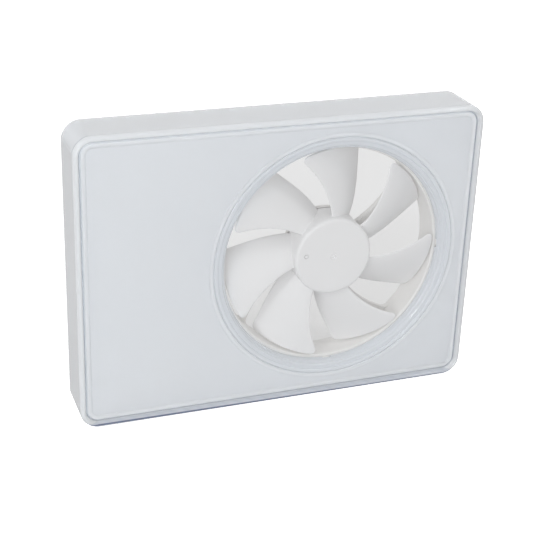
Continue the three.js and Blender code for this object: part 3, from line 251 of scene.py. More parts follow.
COVER_WIDTH, COVER_HEIGHT, COVER_DEPTH = 217, 158, 29
COVER_CENTRE_X = -29.5
COVER_CORNER_R = 10
COVER_REAR = 0.6
COVER_WALL = 2
PANEL, PANEL_BACK = 26.6, 24.6
BEAD_START, BEAD_LEAN = 27.0, 0.75
GROOVE = 26.1
CREST_INSET, GROOVE_INSET = 1.92, 3.2
STEP_START, STEP_CREST, STEP_INSET, STEP_TOP = 3.45, 4.6, 6.6, 27.2
RING_R, RING_PARTING, RING_INNER, RING_RISE = 69.7, 67.2, 64.7, 0.9
COLLAR_R, COLLAR_WALL, COLLAR_FLARE, COLLAR_REAR = 60.7, 1.5, 3.7, 20.4
COLLAR_RIDGE, COLLAR_RIDGES = 0.3, 3
NOTCH_WIDTH, NOTCH_DEPTH, NOTCHES = 5, 1.6, 4
STEEP = 4e-4  # radians over which a notch's side rises
SIDE_STEPS, COVER_CORNER_STEPS = (120, 172), 18
CREASE_DEG = 19.0


def along(start, stop, count):
    """Evenly spaced values between two, without the last."""
    return np.linspace(start, stop, count, endpoint=False)


def rounded_rectangle(place, inset, corner):
    """Points (x, z) round the cover's outline drawn in by inset, with corners of that radius.

    place runs from 0 to 8 anticlockwise: an even whole number starts a straight side and an
    odd one a corner. A point is the corner's centre, or the same share of the way between two
    centres, plus the corner's radius along the outward direction.
    """
    quarter = (place // 2).astype(int)
    bend = (place.astype(int) % 2).astype(bool)
    share = place - np.floor(place)
    half = np.array([COVER_WIDTH, COVER_HEIGHT]) / 2 - inset - corner
    signs = np.array([(1, 1), (-1, 1), (-1, -1), (1, -1)])
    centres = half * signs
    here, before = centres[quarter % 4], centres[(quarter - 1) % 4]
    core = np.where(bend[:, None], here, before + (here - before) * share[:, None])
    turn = (quarter + bend * share) * np.pi / 2
    spot = core + corner * np.stack([np.cos(turn), np.sin(turn)], 1)
    return spot + (COVER_CENTRE_X, 0)


def places_round(straight_steps, corner_steps, angles=()):
    """Places round the outline, as rounded_rectangle counts them, with extra ones at angles.

    Each side takes steps by its length, each corner takes its own, and every extra angle is
    found by reading the place where the outline passes it, seen from the duct axis.
    """
    sides = [along(2 * k, 2 * k + 1, straight_steps[k % 2]) for k in range(4)]
    corners = [along(2 * k + 1, 2 * k + 2, corner_steps) for k in range(4)]
    places = np.sort(np.concatenate(sides + corners))
    if len(angles):
        fine = np.linspace(0, 8, 16001)[:-1]
        edge = rounded_rectangle(fine, STEP_INSET, COVER_CORNER_R - STEP_INSET)
        seen = np.unwrap(np.arctan2(edge[:, 1], edge[:, 0]))
        wanted = (np.asarray(angles) - seen[0]) % (2 * np.pi) + seen[0]
        places = np.unique(np.concatenate([places, np.interp(wanted, seen, fine)]))
    return places


def ring_rows(angles, radii, heights):
    """Circles round the duct axis: one row of (x, -height, z) for each radius and height.

    radii and heights are arrays of one value a row, or of one value for every point.
    """
    radii, heights = np.asarray(radii, float), np.asarray(heights, float)
    radii = radii[:, None] if radii.ndim == 1 else radii
    heights = heights[:, None] if heights.ndim == 1 else heights
    shape = (len(radii), len(angles))
    across, out = np.broadcast_to(radii * np.cos(angles), shape), np.broadcast_to(-heights, shape)
    return np.stack([across, out, np.broadcast_to(radii * np.sin(angles), shape)], -1)


def outline_row(place, inset, height, corner):
    """One row of (x, -height, z) round the outline drawn in by inset."""
    spot = rounded_rectangle(place, inset, corner)
    return np.stack([spot[:, 0], np.full(len(place), -height), spot[:, 1]], 1)


def mesh_piece(name, points, triangles, sharp):
    """A smooth-shaded object of triangles, its faces turned outwards by its signed volume.

    Edges that bend by more than sharp degrees stay crisp.
    """
    corners = points[triangles]
    spans = np.cross(corners[:, 1] - corners[:, 0], corners[:, 2] - corners[:, 0])
    whole = np.linalg.norm(spans, axis=1) > 1e-7
    triangles, corners = triangles[whole], corners[whole]
    turned = np.cross(corners[:, 1], corners[:, 2])
    if np.einsum("ij,ij->i", corners[:, 0], turned).sum() < 0:
        triangles = triangles[:, ::-1]
    mesh = bpy.data.meshes.new(name)
    mesh.vertices.add(len(points))
    mesh.vertices.foreach_set("co", (points * MM).astype(np.float32).ravel())
    mesh.loops.add(triangles.size)
    mesh.loops.foreach_set("vertex_index", triangles.astype(np.int32).ravel())
    mesh.polygons.add(len(triangles))
    mesh.polygons.foreach_set("loop_start", np.arange(0, triangles.size, 3, dtype=np.int32))
    mesh.polygons.foreach_set("use_smooth", np.ones(len(triangles), bool))
    mesh.update(calc_edges=True)
    mesh.validate()
    mesh.set_sharp_from_angle(angle=np.radians(sharp))
    made = bpy.data.objects.new(name, mesh)
    scene.collection.objects.link(made)
    return made


def surface(name, rows, ends="joined", sharp=32.0):
    """Makes a mesh object of a grid of points, closed round each row.

    rows is (rows, points, 3) in millimetres. Where ends is "joined" the last row meets the
    first, and where it is "capped" a fan to the row's middle closes each end.
    """
    count, around = rows.shape[:2]
    points = rows.reshape(-1, 3)
    last = count if ends == "joined" else count - 1
    row, spot = np.meshgrid(np.arange(last), np.arange(around), indexing="ij")
    nearby = (spot + 1) % around
    above = (row + 1) % count
    quads = np.stack([
        row * around + spot, row * around + nearby,
        above * around + nearby, above * around + spot], -1).reshape(-1, 4)
    triangles = np.concatenate([quads[:, [0, 1, 2]], quads[:, [0, 2, 3]]])
    if ends == "capped":
        points = np.concatenate([points, rows[[0, -1]].mean(1)])
        edge = np.arange(around)
        after = (edge + 1) % around
        lower = (count - 1) * around
        first = np.stack([after, edge, np.full(around, count * around)], 1)
        end = np.stack([lower + edge, lower + after, np.full(around, count * around + 1)], 1)
        triangles = np.concatenate([triangles, first, end])
    return mesh_piece(name, points, triangles, sharp)


def cover_edge_profile():
    """Insets and heights of the cover's edge, from the skirt's rear to the flat panel.

    The bead is an ellipse's arc that leaves the skirt at an angle, so a crisp line parts
    the two, and falls in a quarter ellipse to the groove. The second bead rises as a sine
    and falls as a parabola, which meets the panel in an edge.
    """
    lean = np.linspace(BEAD_LEAN, np.pi / 2, 9)
    out = CREST_INSET * (np.cos(BEAD_LEAN) - np.cos(lean)) / np.cos(BEAD_LEAN)
    climbed = (np.sin(lean) - np.sin(BEAD_LEAN)) / (1 - np.sin(BEAD_LEAN))
    climb = BEAD_START + (COVER_DEPTH - BEAD_START) * climbed
    turn = np.linspace(0, np.pi / 2, 10)[1:]
    drop = CREST_INSET + (GROOVE_INSET - CREST_INSET) * np.sin(turn)
    fall = COVER_DEPTH - (COVER_DEPTH - GROOVE) * (1 - np.cos(turn))
    share = np.linspace(0, 1, 7)[1:]
    up = STEP_START + (STEP_CREST - STEP_START) * share
    up_height = GROOVE + (STEP_TOP - GROOVE) * np.sin(share * np.pi / 2)
    down = STEP_CREST + (STEP_INSET - STEP_CREST) * share
    down_height = PANEL + (STEP_TOP - PANEL) * (1 - share**2)
    insets = [[0.5, 0.15, 0, 0, 0], out, drop, [STEP_START], up, down, [STEP_INSET + 0.25]]
    heights = [[COVER_REAR, COVER_REAR + 0.12, COVER_REAR + 0.5, PANEL - 3, BEAD_START - 0.05],
               climb, fall, [GROOVE], up_height, down_height, [PANEL]]
    return np.concatenate(insets), np.concatenate(heights)


def cover_ring_profile():
    """Radii and heights from the panel to the collar's end.

    Two low beads, each a power of a sine, are parted by a fine groove. The collar turns in
    along a quarter ellipse with fine ridges on it, the humps of a squared sine.
    """
    bead = np.linspace(0, np.pi, 11)
    flare = np.linspace(0, np.pi / 2, 37)[1:]
    fullness = 0.7
    mouth = COLLAR_R + COLLAR_FLARE
    radii = [[RING_R + 0.3], RING_R - (RING_R - RING_PARTING) / 2 * (1 - np.cos(bead)),
             RING_PARTING - (RING_PARTING - RING_INNER) / 2 * (1 - np.cos(bead[1:])),
             mouth - COLLAR_FLARE * np.sin(flare)]
    slope = np.minimum(1, bead * 4 / np.pi)
    outer = GROOVE + (PANEL - GROOVE) * (1 - slope) + RING_RISE * np.sin(bead) ** fullness
    outer = np.where(bead < np.pi / 4, np.maximum(outer, PANEL), outer)
    inner = GROOVE + RING_RISE * np.sin(bead[1:]) ** fullness
    fall = GROOVE - COLLAR_REAR - NOTCH_DEPTH
    ridges = COLLAR_RIDGE * np.sin(COLLAR_RIDGES * np.pi * np.sin(flare) ** 2) ** 2
    levels = [[PANEL], outer, inner, GROOVE - fall * (1 - np.cos(flare)) + ridges]
    return np.concatenate(radii), np.concatenate(levels)


def cover_rows():
    """The cover as one closed loop of rows: skirt, beads, panel, ring, collar and back.

    The outer rows follow the outline drawn in by an inset, and the inner ones are circles at
    the angles at which the outline's points are seen, so straight rows join the two. The
    collar's rear edge stands further forward inside its four notches.
    """
    half_notch = NOTCH_WIDTH / 2 / COLLAR_R
    edges = np.array([-half_notch - STEEP, -half_notch, half_notch, half_notch + STEEP])
    notches = (np.arange(NOTCHES)[:, None] * np.pi / 2 + edges).ravel()
    place = places_round(SIDE_STEPS, COVER_CORNER_STEPS, notches)
    outer = [outline_row(place, inset, height, COVER_CORNER_R - inset)
             for inset, height in zip(*cover_edge_profile())]
    seen = rounded_rectangle(place, STEP_INSET, COVER_CORNER_R - STEP_INSET)
    angles = np.arctan2(seen[:, 1], seen[:, 0])
    gap = (angles + np.pi / 4) % (np.pi / 2) - np.pi / 4
    in_notch = np.abs(gap) <= half_notch + 1e-6
    rear = np.where(in_notch, COLLAR_REAR + NOTCH_DEPTH - 0.05, COLLAR_REAR)
    outside = COLLAR_R + COLLAR_WALL
    rim = ring_rows(angles, [COLLAR_R + 0.1, COLLAR_R + 0.45, outside - 0.2, outside],
                    np.stack([rear + 0.25, rear, rear, rear + 0.2]))
    fillet, ease = 1.2, 0.6
    behind = ring_rows(angles, [outside, outside + fillet / 4, outside + fillet],
                       [PANEL_BACK - fillet, PANEL_BACK - fillet / 4, PANEL_BACK])
    hollow = [(COVER_WALL + ease, PANEL_BACK), (COVER_WALL + ease / 4, PANEL_BACK - ease / 4),
              (COVER_WALL, PANEL_BACK - ease), (COVER_WALL, COVER_REAR + ease / 2),
              (COVER_WALL - 0.4, COVER_REAR)]
    inside = [outline_row(place, inset, height, COVER_CORNER_R - inset)
              for inset, height in hollow]
    inner = ring_rows(angles, *cover_ring_profile())
    return np.concatenate([np.array(outer), inner, rim, behind, np.array(inside)])


def grain(start, scale, detail=2.0):
    """Noise of that many cells to a metre on the piece's own coordinates, about 0.2 to 0.8."""
    sockets = {"Vector": object_coords(start), "Scale": scale, "Detail": detail}
    return start.node("TexNoise", {}, sockets)


def bump(start, height, strength, distance):
    """A normal bent by a height, in metres at its full strength."""
    return start.node("Bump", {}, {"Height": height, "Strength": strength, "Distance": distance})


# A tint and, as BODY, an opaque share for each region of the cover. The side, groove, low,
# edge and right tints are painted shade, and the bead tint is a painted highlight. The bands
# are in millimetres: heights from the wall plane, radii from the duct axis, distances from the
# outline, and for the foot and the dark line the rise from the cover's lowest point.
SKIRT_TINT = (0.965, 0.975, 0.99, 1)
SIDE_PAINTED_SHADE = (0.665, 0.675, 0.70, 1)
PANEL_TINTS = (0.955, 0.968, 0.99, 1), (0.965, 0.977, 0.995, 1)
GROOVE_PAINTED_SHADE = (0.66, 0.70, 0.76, 1)
BEAD_PAINTED_HIGHLIGHT = (0.97, 0.985, 1.0, 1)
LOW_PAINTED_SHADE = (0.62, 0.65, 0.71, 1)
EDGE_PAINTED_SHADE = (0.13, 0.16, 0.26, 1)
RIGHT_PAINTED_SHADE = (0.56, 0.62, 0.72, 1)
COLLAR_TINT = (0.86, 0.885, 0.92, 1)
SHADOW_TINT = (0.93, 0.95, 0.97, 1)
SIDE_BODY, LOW_BODY, COLLAR_BODY, BEAD_BODY = 0.7, 0.9, 0.5, 0.4
OUTER_SKIN = (-0.35, -0.1)
GROOVE_FLOOR, GROOVE_TOP = (GROOVE - 0.35, GROOVE - 0.1), (PANEL - 0.35, PANEL - 0.1)
BEAD_BAND, SKIRT_END = (PANEL + 0.1, PANEL + 0.7), (BEAD_START - 0.2, BEAD_START)
FRONT_BAND, FOOT_BAND, COLLAR_BAND = (26.4, 26.9), (2.9, 3.5), (66.3, 66.8)
RIGHT_EDGE_X, RIGHT_EDGE_FADE = 78.2, 0.6
LINE_FOOT, LINE_FOOT_FALL, LINE_TOP, LINE_TOP_FALL, LINE_FADE = 0.55, 0.0069, 2.05, 0.0042, 0.35
CLEAR_IOR, CLEAR_SHARE = 1.49, 0.5


def clear_plastic():
    """Clear plastic: faintly blue in front, neutral on the skirt, painted shade on its low edges.

    Painted shade also darkens its side walls and its groove, and a paler tint on the beads is a
    painted highlight. The painted shade is darkest at the foot of the cover, in a navy line that
    sinks and widens from left to right, and less dark down its right side. It is all painted by
    its place on the piece. Where the moulding scatters light, an opaque share of the same tint
    is mixed in.
    """
    made = bpy.data.materials.new("clear_plastic")
    start, output = new_tree(made)
    flow = grain(start, 22, 1.0)
    fine = grain(start, 900, 2.0)
    x, y, z = (coordinate(start, axis) for axis in "XYZ")
    height = 0 - y
    up = z + COVER_HEIGHT / 2
    out_x, out_z = (x - COVER_CENTRE_X).size() - COVER_WIDTH / 2, z.size() - COVER_HEIGHT / 2
    deep = (1 - height.between(*GROOVE_TOP)) * height.between(*GROOVE_FLOOR)
    bead = height.between(*BEAD_BAND)
    at_side = out_x.between(*OUTER_SKIN)
    skirt = out_x.maths("MAXIMUM", out_x, out_z).between(*OUTER_SKIN)
    skirt = skirt * (1 - height.between(*SKIRT_END))
    front = height.between(*FRONT_BAND)
    foot = (1 - up.between(*FOOT_BAND)) * front
    right = (x - RIGHT_EDGE_X).between(0.0, RIGHT_EDGE_FADE)
    line_foot, line_top = LINE_FOOT - LINE_FOOT_FALL * x, LINE_TOP - LINE_TOP_FALL * x
    line = (up - line_foot).between(0.0, LINE_FADE)
    line = line * (1 - (up - line_top).between(-LINE_FADE, 0.0))
    collar = 1 - x.maths("SQRT", x * x + z * z).between(*COLLAR_BAND)
    tint = flow.steps((0.3, 0), (0.7, 1)).blend(*PANEL_TINTS)
    # Painted shade in the groove.
    tint = deep.blend(tint, GROOVE_PAINTED_SHADE)
    # A painted highlight on the beads.
    tint = bead.blend(tint, BEAD_PAINTED_HIGHLIGHT)
    # Painted shade on the side walls of the skirt.
    tint = skirt.blend(tint, at_side.blend(SKIRT_TINT, SIDE_PAINTED_SHADE))
    # Painted shade on the bead at the foot of the cover.
    tint = foot.blend(tint, LOW_PAINTED_SHADE)
    # Painted shade down the right edge.
    tint = (right * front).blend(tint, RIGHT_PAINTED_SHADE)
    # Painted shade in a navy line along the foot.
    tint = (line * front).blend(tint, EDGE_PAINTED_SHADE)
    tint = collar.blend(tint, COLLAR_TINT)
    opaque = skirt * at_side * SIDE_BODY
    for share in (foot * LOW_BODY, collar * COLLAR_BODY, bead * BEAD_BODY):
        opaque = opaque.maths("MAXIMUM", opaque, share)
    finish = {"Base Color": tint, "Roughness": 0.02 + 0.03 * fine, "IOR": CLEAR_IOR,
              "Normal": bump(start, flow, 0.02, 0.0006)}
    glass = start.node("BsdfPrincipled", {}, {**finish, "Transmission Weight": CLEAR_SHARE})
    body = start.node("BsdfPrincipled", {}, finish)
    moulded = start.node("MixShader", {}, {0: opaque, 1: glass, 2: body})
    open_to_lamps = start.node("BsdfTransparent", {}, {"Color": SHADOW_TINT})
    sockets = {0: ray(start, "Is Shadow Ray"), 1: moulded, 2: open_to_lamps}
    whole = start.node("MixShader", {}, sockets)
    start.tree.links.new(whole.socket, output.inputs["Surface"])
    return made


cover = surface("cover_moulding", cover_rows(), sharp=CREASE_DEG)
cover.data.materials.append(clear_plastic())
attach(cover, "cover")
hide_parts("front_cover")


# ------------------------------------------------------------------ white sheet
# A plain white plastic sheet of 0.9 mm behind the clear panel, die-cut with a round hole.
# It hides the inside of the fan, and is what gives the panel its colour.

SHEET_FRONT, SHEET_THICKNESS = 24.3, 0.9
SHEET_INSET, SHEET_CORNER_R, SHEET_HOLE_R = 2.7, 7.3, 65.0
SHEET_CORNER_STEPS = 12


def sheet_rows():
    """A closed loop of rows: the outline at two heights, and the hole's circle at both."""
    place = places_round(SIDE_STEPS, SHEET_CORNER_STEPS)
    edge = rounded_rectangle(place, SHEET_INSET, SHEET_CORNER_R)
    angles = np.arctan2(edge[:, 1], edge[:, 0])
    rear = SHEET_FRONT - SHEET_THICKNESS
    outside = [outline_row(place, SHEET_INSET, h, SHEET_CORNER_R) for h in (rear, SHEET_FRONT)]
    hole = ring_rows(angles, [SHEET_HOLE_R, SHEET_HOLE_R], [SHEET_FRONT, rear])
    return np.concatenate([np.array(outside), hole])


def plastic(name, colour, shade, roughness, texture, depth, coat=0.0):
    """An opaque moulded plastic: slow colour flow, finer gloss variation and a moulded skin.

    texture is the number of skin cells to a metre and depth their height in metres.
    """
    made = bpy.data.materials.new(name)
    start, output = new_tree(made)
    flow = grain(start, 14, 3.0).steps((0.35, 0), (0.65, 1))
    skin = grain(start, texture, 3.0)
    sheen = roughness - 0.06 + 0.12 * grain(start, texture / 6, 2.0)
    body = start.node("BsdfPrincipled", {}, {
        "Base Color": flow.blend((*colour, 1), (*shade, 1)), "Roughness": sheen,
        "Coat Weight": coat, "Coat Roughness": 0.1, "Normal": bump(start, skin, 0.5, depth)})
    start.tree.links.new(body.socket, output.inputs["Surface"])
    return made


sheet_white = plastic("sheet_white", (0.755, 0.762, 0.768), (0.77, 0.775, 0.78), 0.5, 1600, 3e-5)
sheet = surface("white_sheet", sheet_rows())
sheet.data.materials.append(sheet_white)
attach(sheet, "cover")
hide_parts("decor_inlay")


# ------------------------------------------------------------------ base tray
# White satin plastic: a flat back with a rim that shows through the cover's clear skirt, and
# the bosses, ribs and walls that carry the fan frame, the board and the cable clamp.

base_white = plastic("base_white", (0.825, 0.825, 0.825), (0.84, 0.84, 0.84), 0.42, 1400, 4e-5)


def dress(material, *names):
    """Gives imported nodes' objects a material in place of their own."""
    for name in names:
        mesh = nodes[name].data
        mesh.materials.clear()
        mesh.materials.append(material)


dress(base_white, "rear_base")


# ------------------------------------------------------------------ foam seal
# A ring cut from a sheet of dark closed-cell foam, stuck into a shallow seat in the back of
# the base round the duct, where the wall presses it flat.

foam = bpy.data.materials.new("seal_foam")
start, output = new_tree(foam)
cells = start.node("TexVoronoi", {}, {"Vector": object_coords(start), "Scale": 1100.0})
tone = cells.steps((0.1, 0), (0.6, 1)).blend((0.035, 0.035, 0.037, 1), (0.07, 0.07, 0.073, 1))
sponge = start.node("BsdfPrincipled", {}, {
    "Base Color": tone, "Roughness": 0.82 + 0.14 * grain(start, 300),
    "Normal": bump(start, cells, 0.7, 0.0003)})
start.tree.links.new(sponge.socket, output.inputs["Surface"])
dress(foam, "wall_seal")


# ------------------------------------------------------------------ fan frame
# The duct ring, four curved struts and the motor cup, moulded in one piece of matt warm white
# plastic. Four lugs outside the ring take the screws that hold it to the base.

DUCT_R, DUCT_OUTER, DUCT_REAR, DUCT_FRONT = 59.5, 61.7, 3.4, 20.1
DUCT_LIP_R, DUCT_MOUTH, FLANGE_R, FLANGE_REAR = 60.9, 0.8, 66.5, 19.2
STRUT_REAR, STRUT_FRONT, STRUT_SQUARENESS = 3.8, 7.0, 0.3
STRUT_WIDTH, STRUT_TIP_WIDTH, STRUT_FILLET = 3.6, 3.0, 2.5
STRUT_ROOT_DEG, STRUT_SWEEP_DEG, STRUT_BEND = 26.4, 15.8, 0.3
STRUTS = 4
OVERLAP = 0.6  # how far a strut, rib or blade runs into the wall it grows from
CHANNEL_STRUT, CHANNEL_HALF, CHANNEL_FRONT = 1, 1.1, 5.8
CUP_R, CUP_INSIDE, CUP_REAR, CUP_FRONT, CUP_FLOOR = 21.8, 20.6, 3.4, 6.0, 4.8
TUBE_R, TUBE_BORE, TUBE_FRONT, CUP_EASE = 5.2, 4.1, 18.4, 0.12
STATOR_SEAT_R, STATOR_SEAT_RISE = 7.5, 0.3
NIB_RADII, NIB_HALF, NIB_HEIGHTS = (61.2, 63.4), 1.9, (18.4, 21.4)
LUG_REACH, LUG_R, LUG_HOLE_R, LUG_REAR, LUG_FRONT = 75.6, 4.5, 1.5, 6.3, 8.3
LUG_RIB_HALF, LUG_RIB_FRONT, LUG_DEG, LUG_EASE = 0.7, 10.3, 45, 0.2
PAD_SQUARENESS, PAD_EASE = 0.25, 0.25


def bevelled(profile, size):
    """A closed profile with each corner replaced by two points, that far along its two sides."""
    profile = np.asarray(profile, float)
    back = np.roll(profile, 1, 0) - profile
    ahead = np.roll(profile, -1, 0) - profile
    sides = [side / np.linalg.norm(side, axis=1)[:, None] for side in (back, ahead)]
    pair = np.stack([profile + size * sides[0], profile + size * sides[1]], 1)
    return pair.reshape(-1, 2)


def duct_rows():
    """The duct ring's profile turned about the axis, with a slot at its rear for the lead.

    The mouth is a quarter ellipse. Inside the slot's angles the rear edge stands forward.
    """
    ahead = strut_degrees(np.array([DUCT_R]), CHANNEL_STRUT)[0]
    half = CHANNEL_HALF / DUCT_R
    slot = np.radians(ahead) + np.array([-half - STEEP, -half, half, half + STEEP])
    angles = np.sort(np.concatenate([along(0, 2 * np.pi, 240), slot]))
    turn = np.linspace(0, np.pi / 2, 10)
    mouth = np.stack([DUCT_R + (DUCT_LIP_R - DUCT_R) * (1 - np.sin(turn)),
                      DUCT_FRONT - DUCT_MOUTH * (1 - np.cos(turn))], 1)
    edge = 0.3
    outside = [(DUCT_R, DUCT_REAR + edge), (DUCT_R + edge, DUCT_REAR),
               (DUCT_OUTER - edge, DUCT_REAR), (DUCT_OUTER, DUCT_REAR + edge),
               (DUCT_OUTER, FLANGE_REAR), (FLANGE_R, FLANGE_REAR), (FLANGE_R, DUCT_FRONT)]
    profile = np.concatenate([outside, mouth])
    off = np.abs(angles - np.radians(ahead)) <= half + 1e-6
    heights = np.repeat(profile[:, 1:], len(angles), 1)
    rear = heights < CHANNEL_FRONT
    heights = np.where(rear & off, heights + CHANNEL_FRONT - DUCT_REAR, heights)
    return ring_rows(angles, profile[:, 0], heights)


def bent(share, bend):
    """A share from 0 to 1, of which the part called bend is squared. Its ends stay put."""
    return (1 - bend) * share + bend * share**2


def strut_degrees(radius, strut):
    """The angle of a strut's centre line: a bent share of its sweep, on top of its root's."""
    share = (radius - CUP_R) / (DUCT_R - CUP_R)
    return STRUT_ROOT_DEG + STRUT_SWEEP_DEG * bent(share, STRUT_BEND) + 360 * strut / STRUTS


def squared(spin, power):
    """A turn's cosine and sine, each raised to a low power, which squares the circle."""
    return [np.sign(f(spin)) * np.abs(f(spin)) ** power for f in (np.cos, np.sin)]


def strut_rows(strut):
    """One strut as sections at growing radii, each wrapped round its circle.

    A section is a box with rounded corners: the cosine and sine of a turn, each raised to a
    low power. Its width narrows along the reach and grows by a quarter circle each side at
    the ring. It is divided by the cosine of the centre line's slant, so it is true across it.
    """
    reach = np.concatenate([np.linspace(CUP_R - OVERLAP, DUCT_R - STRUT_FILLET, 30),
                            DUCT_R - STRUT_FILLET * np.cos(np.linspace(0, np.pi / 2, 9)[1:]),
                            [(DUCT_R + DUCT_OUTER) / 2]])
    reach = np.unique(reach)[:, None]
    share = (reach - CUP_R) / (DUCT_R - CUP_R)
    into = np.clip(reach - DUCT_R + STRUT_FILLET, 0, STRUT_FILLET)
    fillet = STRUT_FILLET - np.sqrt(STRUT_FILLET**2 - into**2)
    width = STRUT_WIDTH + (STRUT_TIP_WIDTH - STRUT_WIDTH) * share + 2 * fillet
    slope = np.gradient(np.radians(strut_degrees(reach[:, 0], strut)), reach[:, 0])
    slant = np.cos(np.arctan(reach * slope[:, None]))
    spin = along(0, 2 * np.pi, 72)[None, :]
    across, deep = squared(spin, STRUT_SQUARENESS)
    across = across * width / 2
    middle, half = (STRUT_REAR + STRUT_FRONT) / 2, (STRUT_FRONT - STRUT_REAR) / 2
    height = middle + half * deep + 0 * reach
    if strut == CHANNEL_STRUT:
        in_channel = (np.abs(across) < CHANNEL_HALF) & (height < middle)
        height = np.where(in_channel, CHANNEL_FRONT, height)
    angle = np.radians(strut_degrees(reach, strut)) + across / slant / reach
    return np.stack([reach * np.cos(angle), -height, reach * np.sin(angle)], -1)


def cup_rows():
    """The motor cup and its bearing tube: a profile with eased corners, turned about the axis."""
    seat = CUP_FLOOR + STATOR_SEAT_RISE
    corners = [(CUP_R, CUP_REAR), (CUP_R, CUP_FRONT), (CUP_INSIDE, CUP_FRONT),
               (CUP_INSIDE, CUP_FLOOR), (STATOR_SEAT_R, CUP_FLOOR), (STATOR_SEAT_R, seat),
               (TUBE_R, seat), (TUBE_R, TUBE_FRONT), (TUBE_BORE, TUBE_FRONT),
               (TUBE_BORE, CUP_FLOOR), (0.5, CUP_FLOOR), (0.5, CUP_REAR)]
    profile = bevelled(corners, CUP_EASE)[:-3]
    profile = np.concatenate([[(0.01, CUP_REAR)], profile, [(0.01, CUP_FLOOR)]])
    return ring_rows(along(0, 2 * np.pi, 120), profile[:, 0], profile[:, 1])


def turned_rows(out, side, level, degrees):
    """Rows from distances out along a radius and to its side, turned about the duct axis."""
    turn = np.radians(degrees)
    x, z = out * np.cos(turn) - side * np.sin(turn), out * np.sin(turn) + side * np.cos(turn)
    return np.stack([x, -np.repeat(level[:, None], out.shape[1], 1), z], -1)


def pad_rows(turn, radii, half_width, heights):
    """A small block out along a radius, turned to an angle in degrees, with eased top edges.

    Its outline is a squared circle, times the half sizes.
    """
    lengthways, sideways = squared(along(0, 2 * np.pi, 48), PAD_SQUARENESS)
    low, top = heights
    level = np.array([low, top - PAD_EASE, top - PAD_EASE / 3, top])
    shrink = np.array([0, 0, PAD_EASE / 3, PAD_EASE])[:, None]
    out = sum(radii) / 2 + lengthways * ((radii[1] - radii[0]) / 2 - shrink)
    return turned_rows(out, sideways * (half_width - shrink), level, turn)


def lug_rows(turn):
    """A screw lug: a strip with a round end and a hole, as loops round the hole's middle.

    Seen from there, the strip's edge is a circle outwards. Inwards it is the nearer of the
    two straight sides and the duct ring's outside.
    """
    spin = along(0, 2 * np.pi, 96)
    back = LUG_REACH - (DUCT_R + DUCT_OUTER) / 2
    side = LUG_R / np.maximum(np.abs(np.sin(spin)), 1e-6)
    inward = np.minimum(side, back / np.maximum(-np.cos(spin), 1e-6))
    edge = np.where(np.cos(spin) > 0, LUG_R, inward)
    hole = np.full(len(spin), LUG_HOLE_R)
    radii = np.stack([edge, edge, edge - LUG_EASE, hole, hole])
    level = np.array([LUG_REAR, LUG_FRONT - LUG_EASE, LUG_FRONT, LUG_FRONT, LUG_REAR])
    return turned_rows(LUG_REACH + radii * np.cos(spin), radii * np.sin(spin), level, turn)


frame_white = plastic("frame_white", (0.855, 0.845, 0.83), (0.87, 0.86, 0.845), 0.5, 1500, 5e-5)
frame_pieces = [surface("duct_ring", duct_rows()), surface("motor_cup", cup_rows(), "capped")]
rib_radii = (DUCT_OUTER - OVERLAP, LUG_REACH - LUG_R)
rib_heights = (LUG_REAR + 0.3, LUG_RIB_FRONT)
for k in range(STRUTS):
    quarter = 360 * k / STRUTS
    nib = pad_rows(quarter, NIB_RADII, NIB_HALF, NIB_HEIGHTS)
    rib = pad_rows(LUG_DEG + quarter, rib_radii, LUG_RIB_HALF, rib_heights)
    frame_pieces += [
        surface(f"strut_{k + 1}", strut_rows(k), "capped"),
        surface(f"collar_nib_{k + 1}", nib, "capped"),
        surface(f"frame_lug_{k + 1}", lug_rows(LUG_DEG + quarter)),
        surface(f"lug_rib_{k + 1}", rib, "capped")]
for piece in frame_pieces:
    piece.data.materials.append(frame_white)
    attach(piece, "base")
    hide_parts("fan_frame")


# ------------------------------------------------------------------ impeller
# Seven swept blades and a plain hub, moulded together in matt warm white plastic. The hub has
# a soft shoulder, and on its face the gate mark in the middle and an ejector mark beside it.

HUB_R, HUB_INNER, HUB_FRONT, HUB_REAR, HUB_SHOULDER = 21.5, 20.3, 23.5, 7.0, 2.0
HUB_CEILING, BUSH_SOCKET_R, BUSH_SOCKET_REAR = 21.9, 2.8, 19.3
BLADES = 7
TIP_R, LEAD_CORNER, TRAIL_CORNER = 58.5, 4.0, 2.0
BLADE_WALL, BLADE_CAMBER, BLADE_END_POWER = 1.5, 1.6, 14
LEAD_DEG, LEAD_SWEEP, LEAD_BEND = 91.5, 19.2, 0.16
TRAIL_DEG, TRAIL_SWEEP, TRAIL_BEND = 50.3, 22.7, -0.55
LEAD_HUB_HEIGHT, LEAD_TIP_HEIGHT, TRAIL_HEIGHT = 19.6, 21.4, 8.5
GATE_RADII = [0.01, 1.05, 1.2, 1.35, 1.65, 1.8, 1.95]
GATE_DEPTHS = [0, 0, 0.3, 0.5, 0.5, 0.3, 0]
FACE_RADII = [14.2, 14.8, 16.6, 17.2]
BOSS_R, RIM_EASE = 4.4, 0.15
PIN_MARK_REACH, PIN_MARK_DEG, PIN_MARK_R, PIN_MARK_DEPTH = 15.7, 173, 1.1, 0.0005


